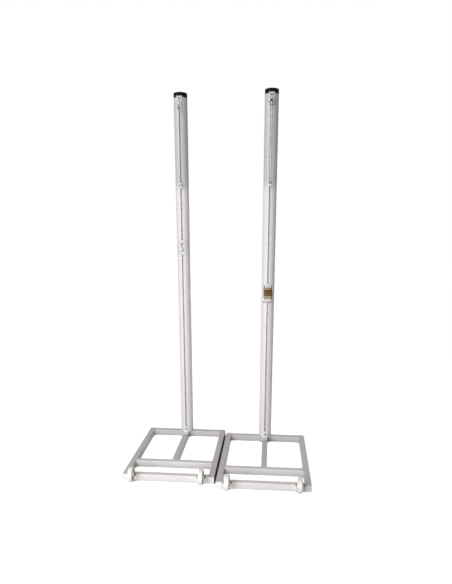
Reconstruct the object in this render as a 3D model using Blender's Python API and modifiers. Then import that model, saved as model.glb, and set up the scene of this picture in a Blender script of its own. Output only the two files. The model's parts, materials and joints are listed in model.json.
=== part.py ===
"""A pair of free-standing, wheeled net posts, standing side by side.

Each post is a round profile with a T-slot in its front. It stands at the rear edge of a
rectangular frame of steel tube, with two tilt-to-roll wheels at the frame's front bar. The left
post carries a hanging link and two slides for the net's ropes, and the right post a sheave with
its cable and a lever clamp. Metres, +Z up, front towards -Y. The origin is the middle of the
pair's footprint, on the floor.
"""

import math

import bmesh
import bpy
from mathutils import Matrix, Vector

# Clearances
SEAT = 0.0003  # between two pieces that rest on each other or are fastened together
RUN = 0.0005  # between two pieces that slide or turn on each other
CUTTER_OVERSHOOT = 0.010  # how far a cutter runs past what it cuts

# The pair
PAIR_GAP = 0.015  # between the two base frames
PAIR_STAGGER = 0.057  # the right post stands this far forward of the left one

# Base frame: rectangular tube, welded
BASE_WIDTH = 0.620
BASE_DEPTH = 0.800
TUBE_WIDTH = 0.040
TUBE_HEIGHT = 0.046
TUBE_WALL = 0.0025
TUBE_CORNER = 0.004
TUBE_END_PLATE = 0.003  # closes each side rail's rear end
MIDDLE_BAR_SETBACK = 0.560  # from the frame's rear edge to the rear of the middle bar
PLUG_HEAD = 0.003
PLUG_DEPTH = 0.022

# Post
OVERALL_HEIGHT = 2.550
POST_DIAMETER = 0.095
POST_WALL = 0.003
POST_INSET = 0.022  # from the frame's rear edge to the post's axis
SLOT_WIDTH = 0.012
SLOT_LIP = 0.005
CHANNEL_WIDTH = 0.032
CHANNEL_DEPTH = 0.018
CHANNEL_WALL = 0.0025
CAP_HEIGHT = 0.032
CAP_EDGE = 0.004
CAP_STUB_DIAMETER = 0.058
CAP_STUB_LENGTH = 0.025
CAP_STUB_ROOT = 0.010  # how far the stub is sunk into the cap

# Foot
FOOT_PLATE = 0.004
SPIGOT_DIAMETER = 0.065
SPIGOT_WALL = 0.004
SPIGOT_HEIGHT = 0.200
BRACKET_WIDTH = 0.038
BRACKET_THICKNESS = 0.005
BRACKET_HEIGHT = 0.054
BRACKET_FOOT = 0.036
FOOT_BOLT_RISE = 0.028  # bolt axis above the frame's top
FOOT_BOLT_DIAMETER = 0.010
HEX_ACROSS = 0.017
HEX_HEIGHT = 0.0065
SLOT_NUT_WIDTH = 0.026
SLOT_NUT_THICKNESS = 0.006
BOLT_TAIL = 0.003  # thread that stands past a nut

# Wheels
WHEEL_DIAMETER = 0.100
WHEEL_WIDTH = 0.030
WHEEL_EDGE = 0.007
WHEEL_RIM = 0.012
WHEEL_WEB = 0.014
HUB_DIAMETER = 0.032
WHEEL_INSET = 0.080  # from the frame's side to the wheel's middle
AXLE_HEIGHT = 0.075
AXLE_REACH = 0.054  # axle axis in front of the base frame
AXLE_DIAMETER = 0.010
FORK_GAP = 0.036
FORK_PLATE = 0.003
FORK_HEIGHT = 0.038
FORK_EAR = 0.026  # diameter of the ear round the axle
YOKE_MARGIN = 0.002  # the back plate stands past each ear by this much

# What every fitting in the T-slot shares
TEE_DEPTH = 0.010
TEE_RELIEF = 0.0005  # the tee's shoulders fall back from the lips by this much
SADDLE_WIDTH = 0.076
SADDLE_PLATE = 0.004
FITTING_PLATE = 0.003
ROD_DIAMETER = 0.004  # bent-rod catches

# Top plate and catch, on both posts
TOP_PLATE_WIDTH = 0.040
TOP_PLATE_HEIGHT = 0.032
TOP_PLATE_THICKNESS = 0.004
TOP_PLATE_LAP = 0.006  # how far the plate laps over the cap
CATCH_WIDTH = 0.022
CATCH_HEIGHT = 0.013

# Left post
LUG_GAP = 0.004  # from the top plate down to the lug
LUG_WIDTH = 0.026
LUG_HEIGHT = 0.028
LUG_EAR = 0.014
LUG_EAR_THICKNESS = 0.005
LUG_REACH = 0.013
LUG_EAR_MARGIN = 0.002  # above and below the ear where it meets the plate
LINK_WIDTH = 0.024  # between the rod's middles
LINK_LENGTH = 0.046
LINK_ROD = 0.007
LINK_CORNER = 0.005  # radius of the two upper bends, to the rod's middle
LEFT_SLIDE_Z = 1.940
LEFT_SLIDE_HEIGHT = 0.036
SLIDE_WIDTH = 0.022
SLIDE_DEPTH = 0.013
SADDLE_Z = 1.509
SADDLE_HEIGHT = 0.102
S_HOOK_RADIUS = 0.007
S_HOOK_REACH = 0.022  # from the hook's middle to the middle of each bend

# Right post
PULLEY_GAP = 0.0165  # from the top plate down to the pulley's back plate
SHEAVE_DIAMETER = 0.037
SHEAVE_RIM = 0.017
GROOVE_DEPTH = 0.004
GROOVE_WIDTH = 0.010
CHEEK_GAP = 0.020
PULLEY_CHEEK = 0.005
CHEEK_HEIGHT = 0.040
CHEEK_EAR = 0.030
PIN_DIAMETER = 0.006
SHEAVE_PIN_HEAD = 0.004
SHEAVE_PIN_HEAD_DIAMETER = 0.013
CABLE_DIAMETER = 0.005
FERRULE_DIAMETER = 0.0065
FERRULE_LENGTH = 0.012
FERRULE_DROP = 0.005  # below the sheave's axis
FERRULE_EDGE = 0.0008
RIGHT_SLIDE_Z = 1.935
RIGHT_SLIDE_HEIGHT = 0.014
EYE_DIAMETER = 0.016  # to the middle of the wire
EYE_WIRE = 0.005
EYE_WELD = 0.001  # how far the eye is sunk into the slide's block
CARRIAGE_Z = 1.186
CARRIAGE_HEIGHT = 0.126
CHEEK_SPACING = 0.062  # between the carriage's two cheeks
CHEEK_PLATE = 0.003
CARRIAGE_CHEEK_HEIGHT = 0.080
CARRIAGE_EAR = 0.018
LEVER_PIVOT_RISE = 0.045  # above the carriage's middle
LEVER_LENGTH = 0.081
LEVER_PIN_HEAD = 0.0015
LEVER_PIN_HEAD_DIAMETER = 0.0096
LEVER_PLATE = 0.004
LEVER_BARREL = 0.012
NAME_PLATE_WIDTH = 0.058
NAME_PLATE_HEIGHT = 0.077
NAME_PLATE_THICKNESS = 0.0015
NAME_PLATE_CORNER = 0.003
JAW_WIDTH = 0.050
JAW_HEIGHT = 0.0155
JAW_DEPTH = 0.012
JAW_RISE = 0.009  # above the carriage's lower edge
CLAMP_BAR_HEIGHT = 0.006
CLAMP_BAR_DEPTH = 0.006
CARRIAGE_EYE_WIDTH = 0.033  # an oval, both to the middle of the wire
CARRIAGE_EYE_HEIGHT = 0.014
CARRIAGE_EYE_WIRE = 0.005

# Fineness
POST_SEGMENTS = 48
CAP_SEGMENTS = 40
WHEEL_SEGMENTS = 28
PIN_SEGMENTS = 16
EAR_SEGMENTS = 8
CORNER_SEGMENTS = 2

# Worked out from the sizes above
POST_RADIUS = POST_DIAMETER / 2
LIP_BACK = -POST_RADIUS + SLOT_LIP
CHANNEL_BACK = LIP_BACK + CHANNEL_DEPTH
SPIGOT_OFFSET = CHANNEL_BACK + CHANNEL_WALL + SEAT + SPIGOT_DIAMETER / 2
DECK = TUBE_HEIGHT + SEAT  # what rests on the frame starts here
POST_BASE = DECK + FOOT_PLATE + SEAT
CAP_BASE = OVERALL_HEIGHT - CAP_HEIGHT
TOP_PLATE_TOP = CAP_BASE + TOP_PLATE_LAP
TOP_PLATE_LOW = TOP_PLATE_TOP - TOP_PLATE_HEIGHT
LINK_PIVOT_Z = TOP_PLATE_LOW - LUG_GAP - LUG_HEIGHT / 2
SHEAVE_Z = TOP_PLATE_LOW - PULLEY_GAP - CHEEK_HEIGHT / 2
WHEEL_X = BASE_WIDTH / 2 - WHEEL_INSET
RAIL_LENGTH = BASE_DEPTH - PLUG_HEAD - SEAT
BAR_LENGTH = BASE_WIDTH - 2 * TUBE_WIDTH - 2 * SEAT
FLAT_SEAT = -POST_RADIUS - SEAT  # rear of a fixed flat plate on the post's front
SLIDE_SEAT = -POST_RADIUS - RUN  # rear of a sliding one
CABLE_Y = FLAT_SEAT - FITTING_PLATE - SEAT - CABLE_DIAMETER / 2
WRAP_RADIUS = SHEAVE_DIAMETER / 2 - GROOVE_DEPTH + SEAT + CABLE_DIAMETER / 2
SHEAVE_Y = CABLE_Y - WRAP_RADIUS
LEVER_PIVOT_Y = SLIDE_SEAT - SADDLE_PLATE - RUN - LEVER_BARREL / 2
PAIR_PITCH = BASE_WIDTH + PAIR_GAP
FOOTPRINT_DEPTH = (
    POST_RADIUS - POST_INSET + PAIR_STAGGER + BASE_DEPTH + AXLE_REACH + WHEEL_DIAMETER / 2
)
LEFT_REAR_Y = FOOTPRINT_DEPTH / 2 - (POST_RADIUS - POST_INSET)

ALONG_X = (math.pi / 2, 0, math.pi / 2)  # an outline in Y and Z, drawn out along X
ALONG_FRONT = (math.pi / 2, 0, 0)  # an outline in X and Z, drawn out towards -Y
AXIS_X = (0, math.pi / 2, 0)  # a turned piece whose axis lies along X


# Scene, collections and materials


def clear_scene():
    for obj in list(bpy.data.objects):
        bpy.data.objects.remove(obj)


def new_collection(name, hidden=False):
    collection = bpy.data.collections.new(name)
    collection.hide_render = hidden
    bpy.context.scene.collection.children.link(collection)
    return collection


clear_scene()
PARTS = new_collection("net_posts")
CUTTERS = new_collection("cutters", hidden=True)


def new_material(name, colour, roughness, metallic=0.0):
    material = bpy.data.materials.new(name)
    material.use_nodes = True
    shader = material.node_tree.nodes["Principled BSDF"]
    shader.inputs["Base Color"].default_value = (*colour, 1)
    shader.inputs["Roughness"].default_value = roughness
    shader.inputs["Metallic"].default_value = metallic
    material.diffuse_color = (*colour, 1)
    return material


POST_WHITE = new_material("post_white", (0.82, 0.81, 0.81), 0.30)
FRAME_GREY = new_material("frame_grey", (0.48, 0.46, 0.44), 0.45)
CAP_BLACK = new_material("cap_black", (0.010, 0.010, 0.011), 0.40)
WHEEL_WHITE = new_material("wheel_white", (0.86, 0.84, 0.81), 0.40)
PLUG_WHITE = new_material("plug_white", (0.84, 0.85, 0.85), 0.45)
ZINC = new_material("zinc_plate", (0.60, 0.60, 0.58), 0.35, 1.0)
DARK_STEEL = new_material("dark_steel", (0.10, 0.10, 0.10), 0.45, 1.0)
LABEL_BRONZE = new_material("label_bronze", (0.20, 0.12, 0.06), 0.40, 0.6)


def set_material(obj, material):
    obj.data.materials.clear()
    obj.data.materials.append(material)


def shade(mesh, angle_degrees=35):
    mesh.shade_smooth()
    mesh.set_sharp_from_angle(angle=math.radians(angle_degrees))


# Where the pieces stand


def new_empty(name, location, parent=None):
    empty = bpy.data.objects.new(name, None)
    empty.empty_display_size = 0.05
    empty.location = location
    empty.parent = parent
    PARTS.objects.link(empty)
    return empty


def place(obj, location, parent, rotation=(0, 0, 0)):
    obj.location = location
    obj.rotation_euler = rotation
    obj.parent = parent
    return obj


# Shapes


def object_from_bmesh(name, shape, collection):
    bmesh.ops.recalc_face_normals(shape, faces=shape.faces)
    mesh = bpy.data.meshes.new(name)
    shape.to_mesh(mesh)
    shape.free()
    shade(mesh)
    obj = bpy.data.objects.new(name, mesh)
    if collection is CUTTERS:
        obj.hide_render = True
        obj.display_type = "WIRE"
    collection.objects.link(obj)
    return obj


def box(name, low, high, collection=PARTS):
    """A block between two corners."""
    shape = bmesh.new()
    size = Vector(high) - Vector(low)
    middle = (Vector(high) + Vector(low)) / 2
    bmesh.ops.create_cube(
        shape, size=1, matrix=Matrix.Translation(middle) @ Matrix.Diagonal((*size, 1))
    )
    return object_from_bmesh(name, shape, collection)


def prism(name, radius, start, end, segments, collection=PARTS):
    """A round or many-sided bar along local Z."""
    shape = bmesh.new()
    bmesh.ops.create_cone(
        shape,
        cap_ends=True,
        segments=segments,
        radius1=radius,
        radius2=radius,
        depth=end - start,
        matrix=Matrix.Translation((0, 0, (start + end) / 2)),
    )
    return object_from_bmesh(name, shape, collection)


def extruded(name, outlines, start, end, collection=PARTS):
    """Flat outlines, the later ones holes in the first, drawn out along local Z."""
    curve = bpy.data.curves.new(name, "CURVE")
    curve.dimensions = "2D"
    curve.fill_mode = "BOTH"
    curve.extrude = (end - start) / 2
    for outline in outlines:
        spline = curve.splines.new("POLY")
        spline.points.add(len(outline) - 1)
        for point, (x, y) in zip(spline.points, outline):
            point.co = (x, y, 0, 1)
        spline.use_cyclic_u = True
    guide = bpy.data.objects.new(name + "_outline", curve)
    bpy.context.scene.collection.objects.link(guide)
    graph = bpy.context.evaluated_depsgraph_get()
    mesh = bpy.data.meshes.new_from_object(guide.evaluated_get(graph))
    bpy.data.objects.remove(guide)
    shape = bmesh.new()
    shape.from_mesh(mesh)
    bpy.data.meshes.remove(mesh)
    bmesh.ops.remove_doubles(shape, verts=shape.verts, dist=1e-6)
    bmesh.ops.translate(shape, verts=shape.verts, vec=(0, 0, (start + end) / 2))
    return object_from_bmesh(name, shape, collection)


def turned(name, profile, segments, ring=False, collection=PARTS):
    """A profile of (radius, height) points, outer side downwards, turned about local Z."""
    shape = bmesh.new()
    points = [shape.verts.new((radius, 0, height)) for radius, height in profile]
    for start, end in zip(points, points[1:]):
        shape.edges.new((start, end))
    if ring:
        shape.edges.new((points[-1], points[0]))
    mesh = bpy.data.meshes.new(name)
    shape.to_mesh(mesh)
    shape.free()
    obj = bpy.data.objects.new(name, mesh)
    collection.objects.link(obj)
    if collection is CUTTERS:
        obj.hide_render = True
        obj.display_type = "WIRE"
    screw = obj.modifiers.new("Turn", "SCREW")
    screw.steps = screw.render_steps = segments
    screw.use_merge_vertices = True
    screw.merge_threshold = 1e-6
    screw.use_smooth_shade = True
    return obj


def bent_rod(name, points, diameter, closed=False, sides=2):
    """A round rod along a route of straight steps."""
    curve = bpy.data.curves.new(name, "CURVE")
    curve.dimensions = "3D"
    curve.bevel_depth = diameter / 2
    curve.bevel_resolution = sides
    curve.use_fill_caps = not closed
    spline = curve.splines.new("POLY")
    spline.points.add(len(points) - 1)
    for point, place_of in zip(spline.points, points):
        point.co = (*place_of, 1)
    spline.use_cyclic_u = closed
    obj = bpy.data.objects.new(name, curve)
    PARTS.objects.link(obj)
    return obj


def wire_ring(name, ring_diameter, wire_diameter):
    """A round eye of wire, to be joined to another piece."""
    bpy.ops.mesh.primitive_torus_add(
        major_radius=ring_diameter / 2,
        minor_radius=wire_diameter / 2,
        major_segments=24,
        minor_segments=8,
    )
    obj = bpy.context.object
    obj.name = name
    for current in list(obj.users_collection):
        current.objects.unlink(obj)
    shade(obj.data, 60)
    obj.hide_render = True
    obj.display_type = "WIRE"
    CUTTERS.objects.link(obj)
    return obj


def combine(obj, tool, operation, rotation=(0, 0, 0), location=(0, 0, 0)):
    """Joins tool to obj, or cuts it away. tool stands in obj's own axes."""
    tool.parent = obj
    tool.location = location
    tool.rotation_euler = rotation
    boolean = obj.modifiers.new(tool.name, "BOOLEAN")
    boolean.operation = operation
    boolean.solver = "EXACT"
    boolean.object = tool


def join(obj, tool, rotation=(0, 0, 0), location=(0, 0, 0)):
    combine(obj, tool, "UNION", rotation, location)


def cut(obj, tool, rotation=(0, 0, 0), location=(0, 0, 0)):
    combine(obj, tool, "DIFFERENCE", rotation, location)


# Outlines


def arc(centre, radius, start, end, segments):
    """Points along an arc, both ends included; angles in radians from +X."""
    return [
        (
            centre[0] + radius * math.cos(start + (end - start) * step / segments),
            centre[1] + radius * math.sin(start + (end - start) * step / segments),
        )
        for step in range(segments + 1)
    ]


def circle(radius, segments, centre=(0, 0)):
    return arc(centre, radius, 0, math.tau, segments)[:-1]


def rounded_rectangle(width, height, corner):
    points = []
    for quarter, (side_x, side_y) in enumerate([(1, 1), (-1, 1), (-1, -1), (1, -1)]):
        centre = (side_x * (width / 2 - corner), side_y * (height / 2 - corner))
        start = quarter * math.pi / 2
        points += arc(centre, corner, start, start + math.pi / 2, CORNER_SEGMENTS)
    return points


def ear_outline(base_low, base_high, centre, radius):
    """A straight edge on the +X side, drawn out to a round end about centre."""

    def tangent(corner, side):
        away = Vector(corner) - Vector(centre)
        return math.atan2(away.y, away.x) + side * math.acos(radius / away.length)

    start = tangent(base_high, 1)
    end = tangent(base_low, -1)
    if end < start:
        end += math.tau
    return [base_low, base_high] + arc(centre, radius, start, end, EAR_SEGMENTS)


def post_outlines():
    """The post's section: the outside with its T-slot, and the hollow behind the slot."""
    mouth = SLOT_WIDTH / 2
    half = CHANNEL_WIDTH / 2
    mouth_angle = math.asin(mouth / POST_RADIUS)
    outside = arc(
        (0, 0),
        POST_RADIUS,
        mouth_angle - math.pi / 2,
        1.5 * math.pi - mouth_angle,
        POST_SEGMENTS,
    )
    outside += [
        (-mouth, LIP_BACK),
        (-half, LIP_BACK),
        (-half, CHANNEL_BACK),
        (half, CHANNEL_BACK),
        (half, LIP_BACK),
        (mouth, LIP_BACK),
    ]
    inner_radius = POST_RADIUS - POST_WALL
    side = half + CHANNEL_WALL
    side_angle = math.asin(side / inner_radius)
    hollow = arc(
        (0, 0),
        inner_radius,
        side_angle - math.pi / 2,
        1.5 * math.pi - side_angle,
        POST_SEGMENTS,
    )
    hollow += [(-side, CHANNEL_BACK + CHANNEL_WALL), (side, CHANNEL_BACK + CHANNEL_WALL)]
    return [outside, hollow]


def tee_outline(front):
    """A tee that fills the slot and the channel behind it, reaching forward to y = front."""
    neck = SLOT_WIDTH / 2 - RUN
    flange = CHANNEL_WIDTH / 2 - RUN
    shoulder = LIP_BACK + RUN
    edge = shoulder + TEE_RELIEF
    back = shoulder + TEE_DEPTH
    return [
        (-neck, front),
        (neck, front),
        (neck, shoulder),
        (flange, edge),
        (flange, back),
        (-flange, back),
        (-flange, edge),
        (-neck, shoulder),
    ]


def saddle_outline(width, thickness):
    """A curved plate that follows the post's front, seen from above."""
    inner = POST_RADIUS + RUN
    outer = inner + thickness
    half = math.asin(width / 2 / outer)
    down = -math.pi / 2
    front = arc((0, 0), outer, down - half, down + half, 16)
    rear = arc((0, 0), inner, down + half, down - half, 16)
    return front + rear


def jaw_outline(width, front, rear_radius):
    """A block with a flat front, whose rear follows the post, seen from above."""
    half = math.asin(width / 2 / rear_radius)
    down = -math.pi / 2
    rear = arc((0, 0), rear_radius, down + half, down - half, EAR_SEGMENTS)
    return [(-width / 2, front), (width / 2, front)] + rear


# Base frame


def tube_outlines():
    return [
        rounded_rectangle(TUBE_WIDTH, TUBE_HEIGHT, TUBE_CORNER),
        rounded_rectangle(
            TUBE_WIDTH - 2 * TUBE_WALL, TUBE_HEIGHT - 2 * TUBE_WALL, TUBE_CORNER - TUBE_WALL
        ),
    ]


def side_rail(name, x, frame):
    """Closed at the rear by a welded plate, open at the front for its plug."""
    outside, bore = tube_outlines()
    rail = extruded(name, [outside], 0, RAIL_LENGTH)
    pocket = extruded(name + "_bore", [bore], TUBE_END_PLATE, RAIL_LENGTH + CUTTER_OVERSHOOT, CUTTERS)
    cut(rail, pocket)
    place(rail, (x, 0, TUBE_HEIGHT / 2), frame, ALONG_FRONT)
    set_material(rail, FRAME_GREY)


def end_plug(name, x, frame):
    """A push-in plug: its head covers the tube's end and its stub fits the bore."""
    outside = rounded_rectangle(TUBE_WIDTH, TUBE_HEIGHT, TUBE_CORNER)
    bore_width = TUBE_WIDTH - 2 * TUBE_WALL - 2 * SEAT
    bore_height = TUBE_HEIGHT - 2 * TUBE_WALL - 2 * SEAT
    stub_outline = rounded_rectangle(bore_width, bore_height, TUBE_CORNER - TUBE_WALL)
    plug = extruded(name, [outside], 0, PLUG_HEAD)
    stub = extruded(name + "_stub", [stub_outline], -PLUG_DEPTH, PLUG_HEAD / 2, CUTTERS)
    join(plug, stub)
    place(plug, (x, -(BASE_DEPTH - PLUG_HEAD), TUBE_HEIGHT / 2), frame, ALONG_FRONT)
    set_material(plug, PLUG_WHITE)


def cross_bar(name, rear, frame):
    """A tube across the frame, butted between the side rails."""
    bar = extruded(name, tube_outlines(), -BAR_LENGTH / 2, BAR_LENGTH / 2)
    place(bar, (0, -rear - TUBE_WIDTH / 2, TUBE_HEIGHT / 2), frame, ALONG_X)
    set_material(bar, FRAME_GREY)


def centre_rail(name, frame):
    """Butted between the back bar and the middle bar."""
    start = TUBE_WIDTH + SEAT
    length = MIDDLE_BAR_SETBACK - TUBE_WIDTH - 2 * SEAT
    rail = extruded(name, tube_outlines(), 0, length)
    place(rail, (0, -start, TUBE_HEIGHT / 2), frame, ALONG_FRONT)
    set_material(rail, FRAME_GREY)


def base_frame(side, frame, towards_pair):
    rail_x = (BASE_WIDTH - TUBE_WIDTH) / 2
    for which, x in (("inner", towards_pair * rail_x), ("outer", -towards_pair * rail_x)):
        side_rail(f"{side}_{which}_rail", x, frame)
        end_plug(f"{side}_{which}_rail_plug", x, frame)
    cross_bar(f"{side}_back_bar", 0, frame)
    cross_bar(f"{side}_middle_bar", MIDDLE_BAR_SETBACK, frame)
    cross_bar(f"{side}_front_bar", RAIL_LENGTH - TUBE_WIDTH, frame)
    centre_rail(f"{side}_centre_rail", frame)


# Ears and yokes, which carry a pin along X


def ear(name, outline, hole_radius, hole, start, end, collection):
    """A plate across X with a round hole for the pin."""
    holes = [circle(hole_radius, PIN_SEGMENTS, hole)]
    return extruded(name, [outline] + holes, start, end, collection)


def yoke(name, plate, ears, thickness, gap, pin, ear_radius, hole_radius):
    """A back plate with two ears. plate is (width, low, high), pin is (reach, height).

    The plate's rear is at y = 0, and the ears reach forward to the pin, in -Y.
    """
    width, low, high = plate
    yoke_body = box(name, (-width / 2, -thickness, low), (width / 2, 0, high))
    root_y = -thickness / 2
    margin = thickness / 4
    outline = ear_outline(
        (root_y, low + margin), (root_y, high - margin), (-pin[0], pin[1]), ear_radius
    )
    for number, side in enumerate((-1, 1)):
        near = side * gap / 2
        far = side * (gap / 2 + ears)
        tool = ear(
            f"{name}_ear_{number}",
            outline,
            hole_radius,
            (-pin[0], pin[1]),
            min(near, far),
            max(near, far),
            CUTTERS,
        )
        join(yoke_body, tool, ALONG_X)
    return yoke_body


# Wheels


def wheel(name, location, frame):
    """Tread and hub in one moulding, turned about its axle."""
    outer = WHEEL_DIAMETER / 2
    half = WHEEL_WIDTH / 2
    hub = HUB_DIAMETER / 2
    hub_half = FORK_GAP / 2 - RUN
    web = WHEEL_WEB / 2
    bore = AXLE_DIAMETER / 2 + SEAT
    rim = outer - WHEEL_RIM
    corner = (outer - WHEEL_EDGE, half - WHEEL_EDGE)
    top = arc(corner, WHEEL_EDGE, math.pi / 2, 0, 3)
    upper = [(bore, hub_half), (hub, hub_half), (hub, web)]
    upper += [(rim, web), (rim, half)] + top
    lower = [(radius, -height) for radius, height in reversed(upper)]
    tread = turned(name, upper + lower, WHEEL_SEGMENTS, ring=True)
    place(tread, location, frame, AXIS_X)
    set_material(tread, WHEEL_WHITE)


def hex_bolt(name, radius, grip, location, frame, rotation, tail, nut_radius, nut_height):
    """A bolt along local Z: its head below z = 0, its nut above z = grip."""
    bolt = prism(name, radius, -HEX_HEIGHT / 2, grip + tail, PIN_SEGMENTS)
    head_radius = HEX_ACROSS / math.sqrt(3)
    head = prism(name + "_head", head_radius, -HEX_HEIGHT, 0, 6, CUTTERS)
    nut = prism(name + "_nut", nut_radius, grip, grip + nut_height, 6, CUTTERS)
    join(bolt, head)
    join(bolt, nut)
    place(bolt, location, frame, rotation)
    set_material(bolt, DARK_STEEL)


def tilt_wheel(side, which, x, frame):
    """A fork on the front bar's face, with its wheel and axle bolt."""
    bar_face = -(RAIL_LENGTH + SEAT)
    fork_rear = (x, bar_face, TUBE_HEIGHT / 2)
    reach = BASE_DEPTH + AXLE_REACH + bar_face
    fork = yoke(
        f"{side}_{which}_fork",
        (FORK_GAP + 2 * (FORK_PLATE + YOKE_MARGIN), -FORK_HEIGHT / 2, FORK_HEIGHT / 2),
        FORK_PLATE,
        FORK_PLATE,
        FORK_GAP,
        (reach, AXLE_HEIGHT - TUBE_HEIGHT / 2),
        FORK_EAR / 2,
        AXLE_DIAMETER / 2 + SEAT,
    )
    place(fork, fork_rear, frame)
    set_material(fork, ZINC)
    axle = (x, -(BASE_DEPTH + AXLE_REACH), AXLE_HEIGHT)
    wheel(f"{side}_{which}_wheel", axle, frame)
    half_grip = FORK_GAP / 2 + FORK_PLATE + SEAT
    hex_bolt(
        f"{side}_{which}_axle_bolt",
        AXLE_DIAMETER / 2,
        2 * half_grip,
        (axle[0] - half_grip, axle[1], axle[2]),
        frame,
        AXIS_X,
        HEX_HEIGHT + BOLT_TAIL,
        HEX_ACROSS / math.sqrt(3),
        HEX_HEIGHT,
    )


# Post and foot


def post(side, axis):
    body = extruded(f"{side}_post", post_outlines(), POST_BASE, CAP_BASE - SEAT)
    place(body, (0, 0, 0), axis)
    set_material(body, POST_WHITE)


def cap(side, axis):
    """A plug with a rounded rim; its stub goes down into the post's hollow."""
    shoulder = arc(
        (POST_RADIUS - CAP_EDGE, CAP_HEIGHT - CAP_EDGE), CAP_EDGE, math.pi / 2, 0, 3
    )
    profile = [(0, CAP_HEIGHT)] + shoulder + [(POST_RADIUS, 0), (0, 0)]
    lid = turned(f"{side}_cap", profile, CAP_SEGMENTS)
    stub = prism(
        f"{side}_cap_stub",
        CAP_STUB_DIAMETER / 2,
        -CAP_STUB_LENGTH,
        CAP_STUB_ROOT,
        PIN_SEGMENTS,
        CUTTERS,
    )
    join(lid, stub, location=(0, SPIGOT_OFFSET, 0))
    place(lid, (0, 0, CAP_BASE), axis)
    set_material(lid, CAP_BLACK)


def foot_socket(side, axis):
    """A plate welded to the frame, with the spigot that the post's hollow drops over."""
    outer = SPIGOT_DIAMETER / 2
    inner = outer - SPIGOT_WALL
    top = FOOT_PLATE + SPIGOT_HEIGHT
    root = FOOT_PLATE / 2
    plate = prism(f"{side}_foot_socket", POST_RADIUS, 0, FOOT_PLATE, POST_SEGMENTS)
    spigot = turned(
        f"{side}_spigot",
        [(inner, top), (outer, top), (outer, root), (inner, root)],
        WHEEL_SEGMENTS,
        ring=True,
        collection=CUTTERS,
    )
    join(plate, spigot, location=(0, SPIGOT_OFFSET, 0))
    place(plate, (0, 0, DECK), axis)
    set_material(plate, FRAME_GREY)


def foot_bracket(side, axis):
    """An angle that stands on the centre rail and is bolted through the slot."""
    rear = FLAT_SEAT
    outline = [
        (rear, 0),
        (rear, BRACKET_HEIGHT),
        (rear - BRACKET_THICKNESS, BRACKET_HEIGHT),
        (rear - BRACKET_THICKNESS, BRACKET_THICKNESS),
        (rear - BRACKET_FOOT, BRACKET_THICKNESS),
        (rear - BRACKET_FOOT, 0),
    ]
    angle = extruded(
        f"{side}_foot_bracket", [outline], -BRACKET_WIDTH / 2, BRACKET_WIDTH / 2
    )
    hole = prism(
        f"{side}_foot_hole",
        FOOT_BOLT_DIAMETER / 2 + SEAT,
        -BRACKET_THICKNESS - CUTTER_OVERSHOOT,
        CUTTER_OVERSHOOT,
        PIN_SEGMENTS,
        CUTTERS,
    )
    # In the bracket's own axes X runs back, Y runs up and Z runs across.
    cut(angle, hole, AXIS_X, (rear, FOOT_BOLT_RISE, 0))
    place(angle, (0, 0, DECK), axis, ALONG_X)
    set_material(angle, POST_WHITE)
    head_face = rear - BRACKET_THICKNESS - SEAT
    nut_face = LIP_BACK + SEAT
    bolt = prism(
        f"{side}_foot_bolt",
        FOOT_BOLT_DIAMETER / 2,
        -HEX_HEIGHT / 2,
        nut_face - head_face + SLOT_NUT_THICKNESS + BOLT_TAIL,
        PIN_SEGMENTS,
    )
    head = prism(
        f"{side}_foot_bolt_head", HEX_ACROSS / math.sqrt(3), -HEX_HEIGHT, 0, 6, CUTTERS
    )
    join(bolt, head)
    half = SLOT_NUT_WIDTH / 2
    start = nut_face - head_face
    nut = box(
        f"{side}_slot_nut",
        (-half, -half, start),
        (half, half, start + SLOT_NUT_THICKNESS),
        CUTTERS,
    )
    join(bolt, nut)
    place(bolt, (0, head_face, DECK + FOOT_BOLT_RISE), axis, (-math.pi / 2, 0, 0))
    set_material(bolt, DARK_STEEL)


# Fittings in the T-slot


def add_tee(obj, front, low, high):
    """Holds a fitting to the post: its tee runs behind the slot's lips."""
    tee = extruded(obj.name + "_tee", [tee_outline(front)], low, high, CUTTERS)
    join(obj, tee)


def v_points(width, height, y):
    return [(-width / 2, y, height / 2), (0, y, -height / 2), (width / 2, y, height / 2)]


def top_plate(side, axis):
    """A plate under the cap's rim with a bent-rod catch on its face."""
    low = TOP_PLATE_LOW
    front = FLAT_SEAT - TOP_PLATE_THICKNESS
    half = TOP_PLATE_WIDTH / 2
    plate = box(f"{side}_top_plate", (-half, front, low), (half, FLAT_SEAT, TOP_PLATE_TOP))
    tee_top = CAP_BASE - 2 * SEAT
    add_tee(plate, FLAT_SEAT - TOP_PLATE_THICKNESS / 2, low + SEAT, tee_top)
    place(plate, (0, 0, 0), axis)
    set_material(plate, POST_WHITE)
    catch_y = front - SEAT - ROD_DIAMETER / 2
    catch = bent_rod(
        f"{side}_top_catch", v_points(CATCH_WIDTH, CATCH_HEIGHT, 0), ROD_DIAMETER
    )
    place(catch, (0, catch_y, (TOP_PLATE_TOP + low) / 2), axis)
    set_material(catch, DARK_STEEL)


def link_route():
    """A long link: a straight bar at the top, round at the bottom."""
    half = LINK_WIDTH / 2
    low_centre = -(LINK_LENGTH - half)
    across = half - LINK_CORNER
    points = arc((across, -LINK_CORNER), LINK_CORNER, math.pi / 2, 0, 4)
    points += arc((0, low_centre), half, 0, -math.pi, 14)
    points += arc((-across, -LINK_CORNER), LINK_CORNER, math.pi, math.pi / 2, 4)
    return [(x, 0, z) for x, z in points]


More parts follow.
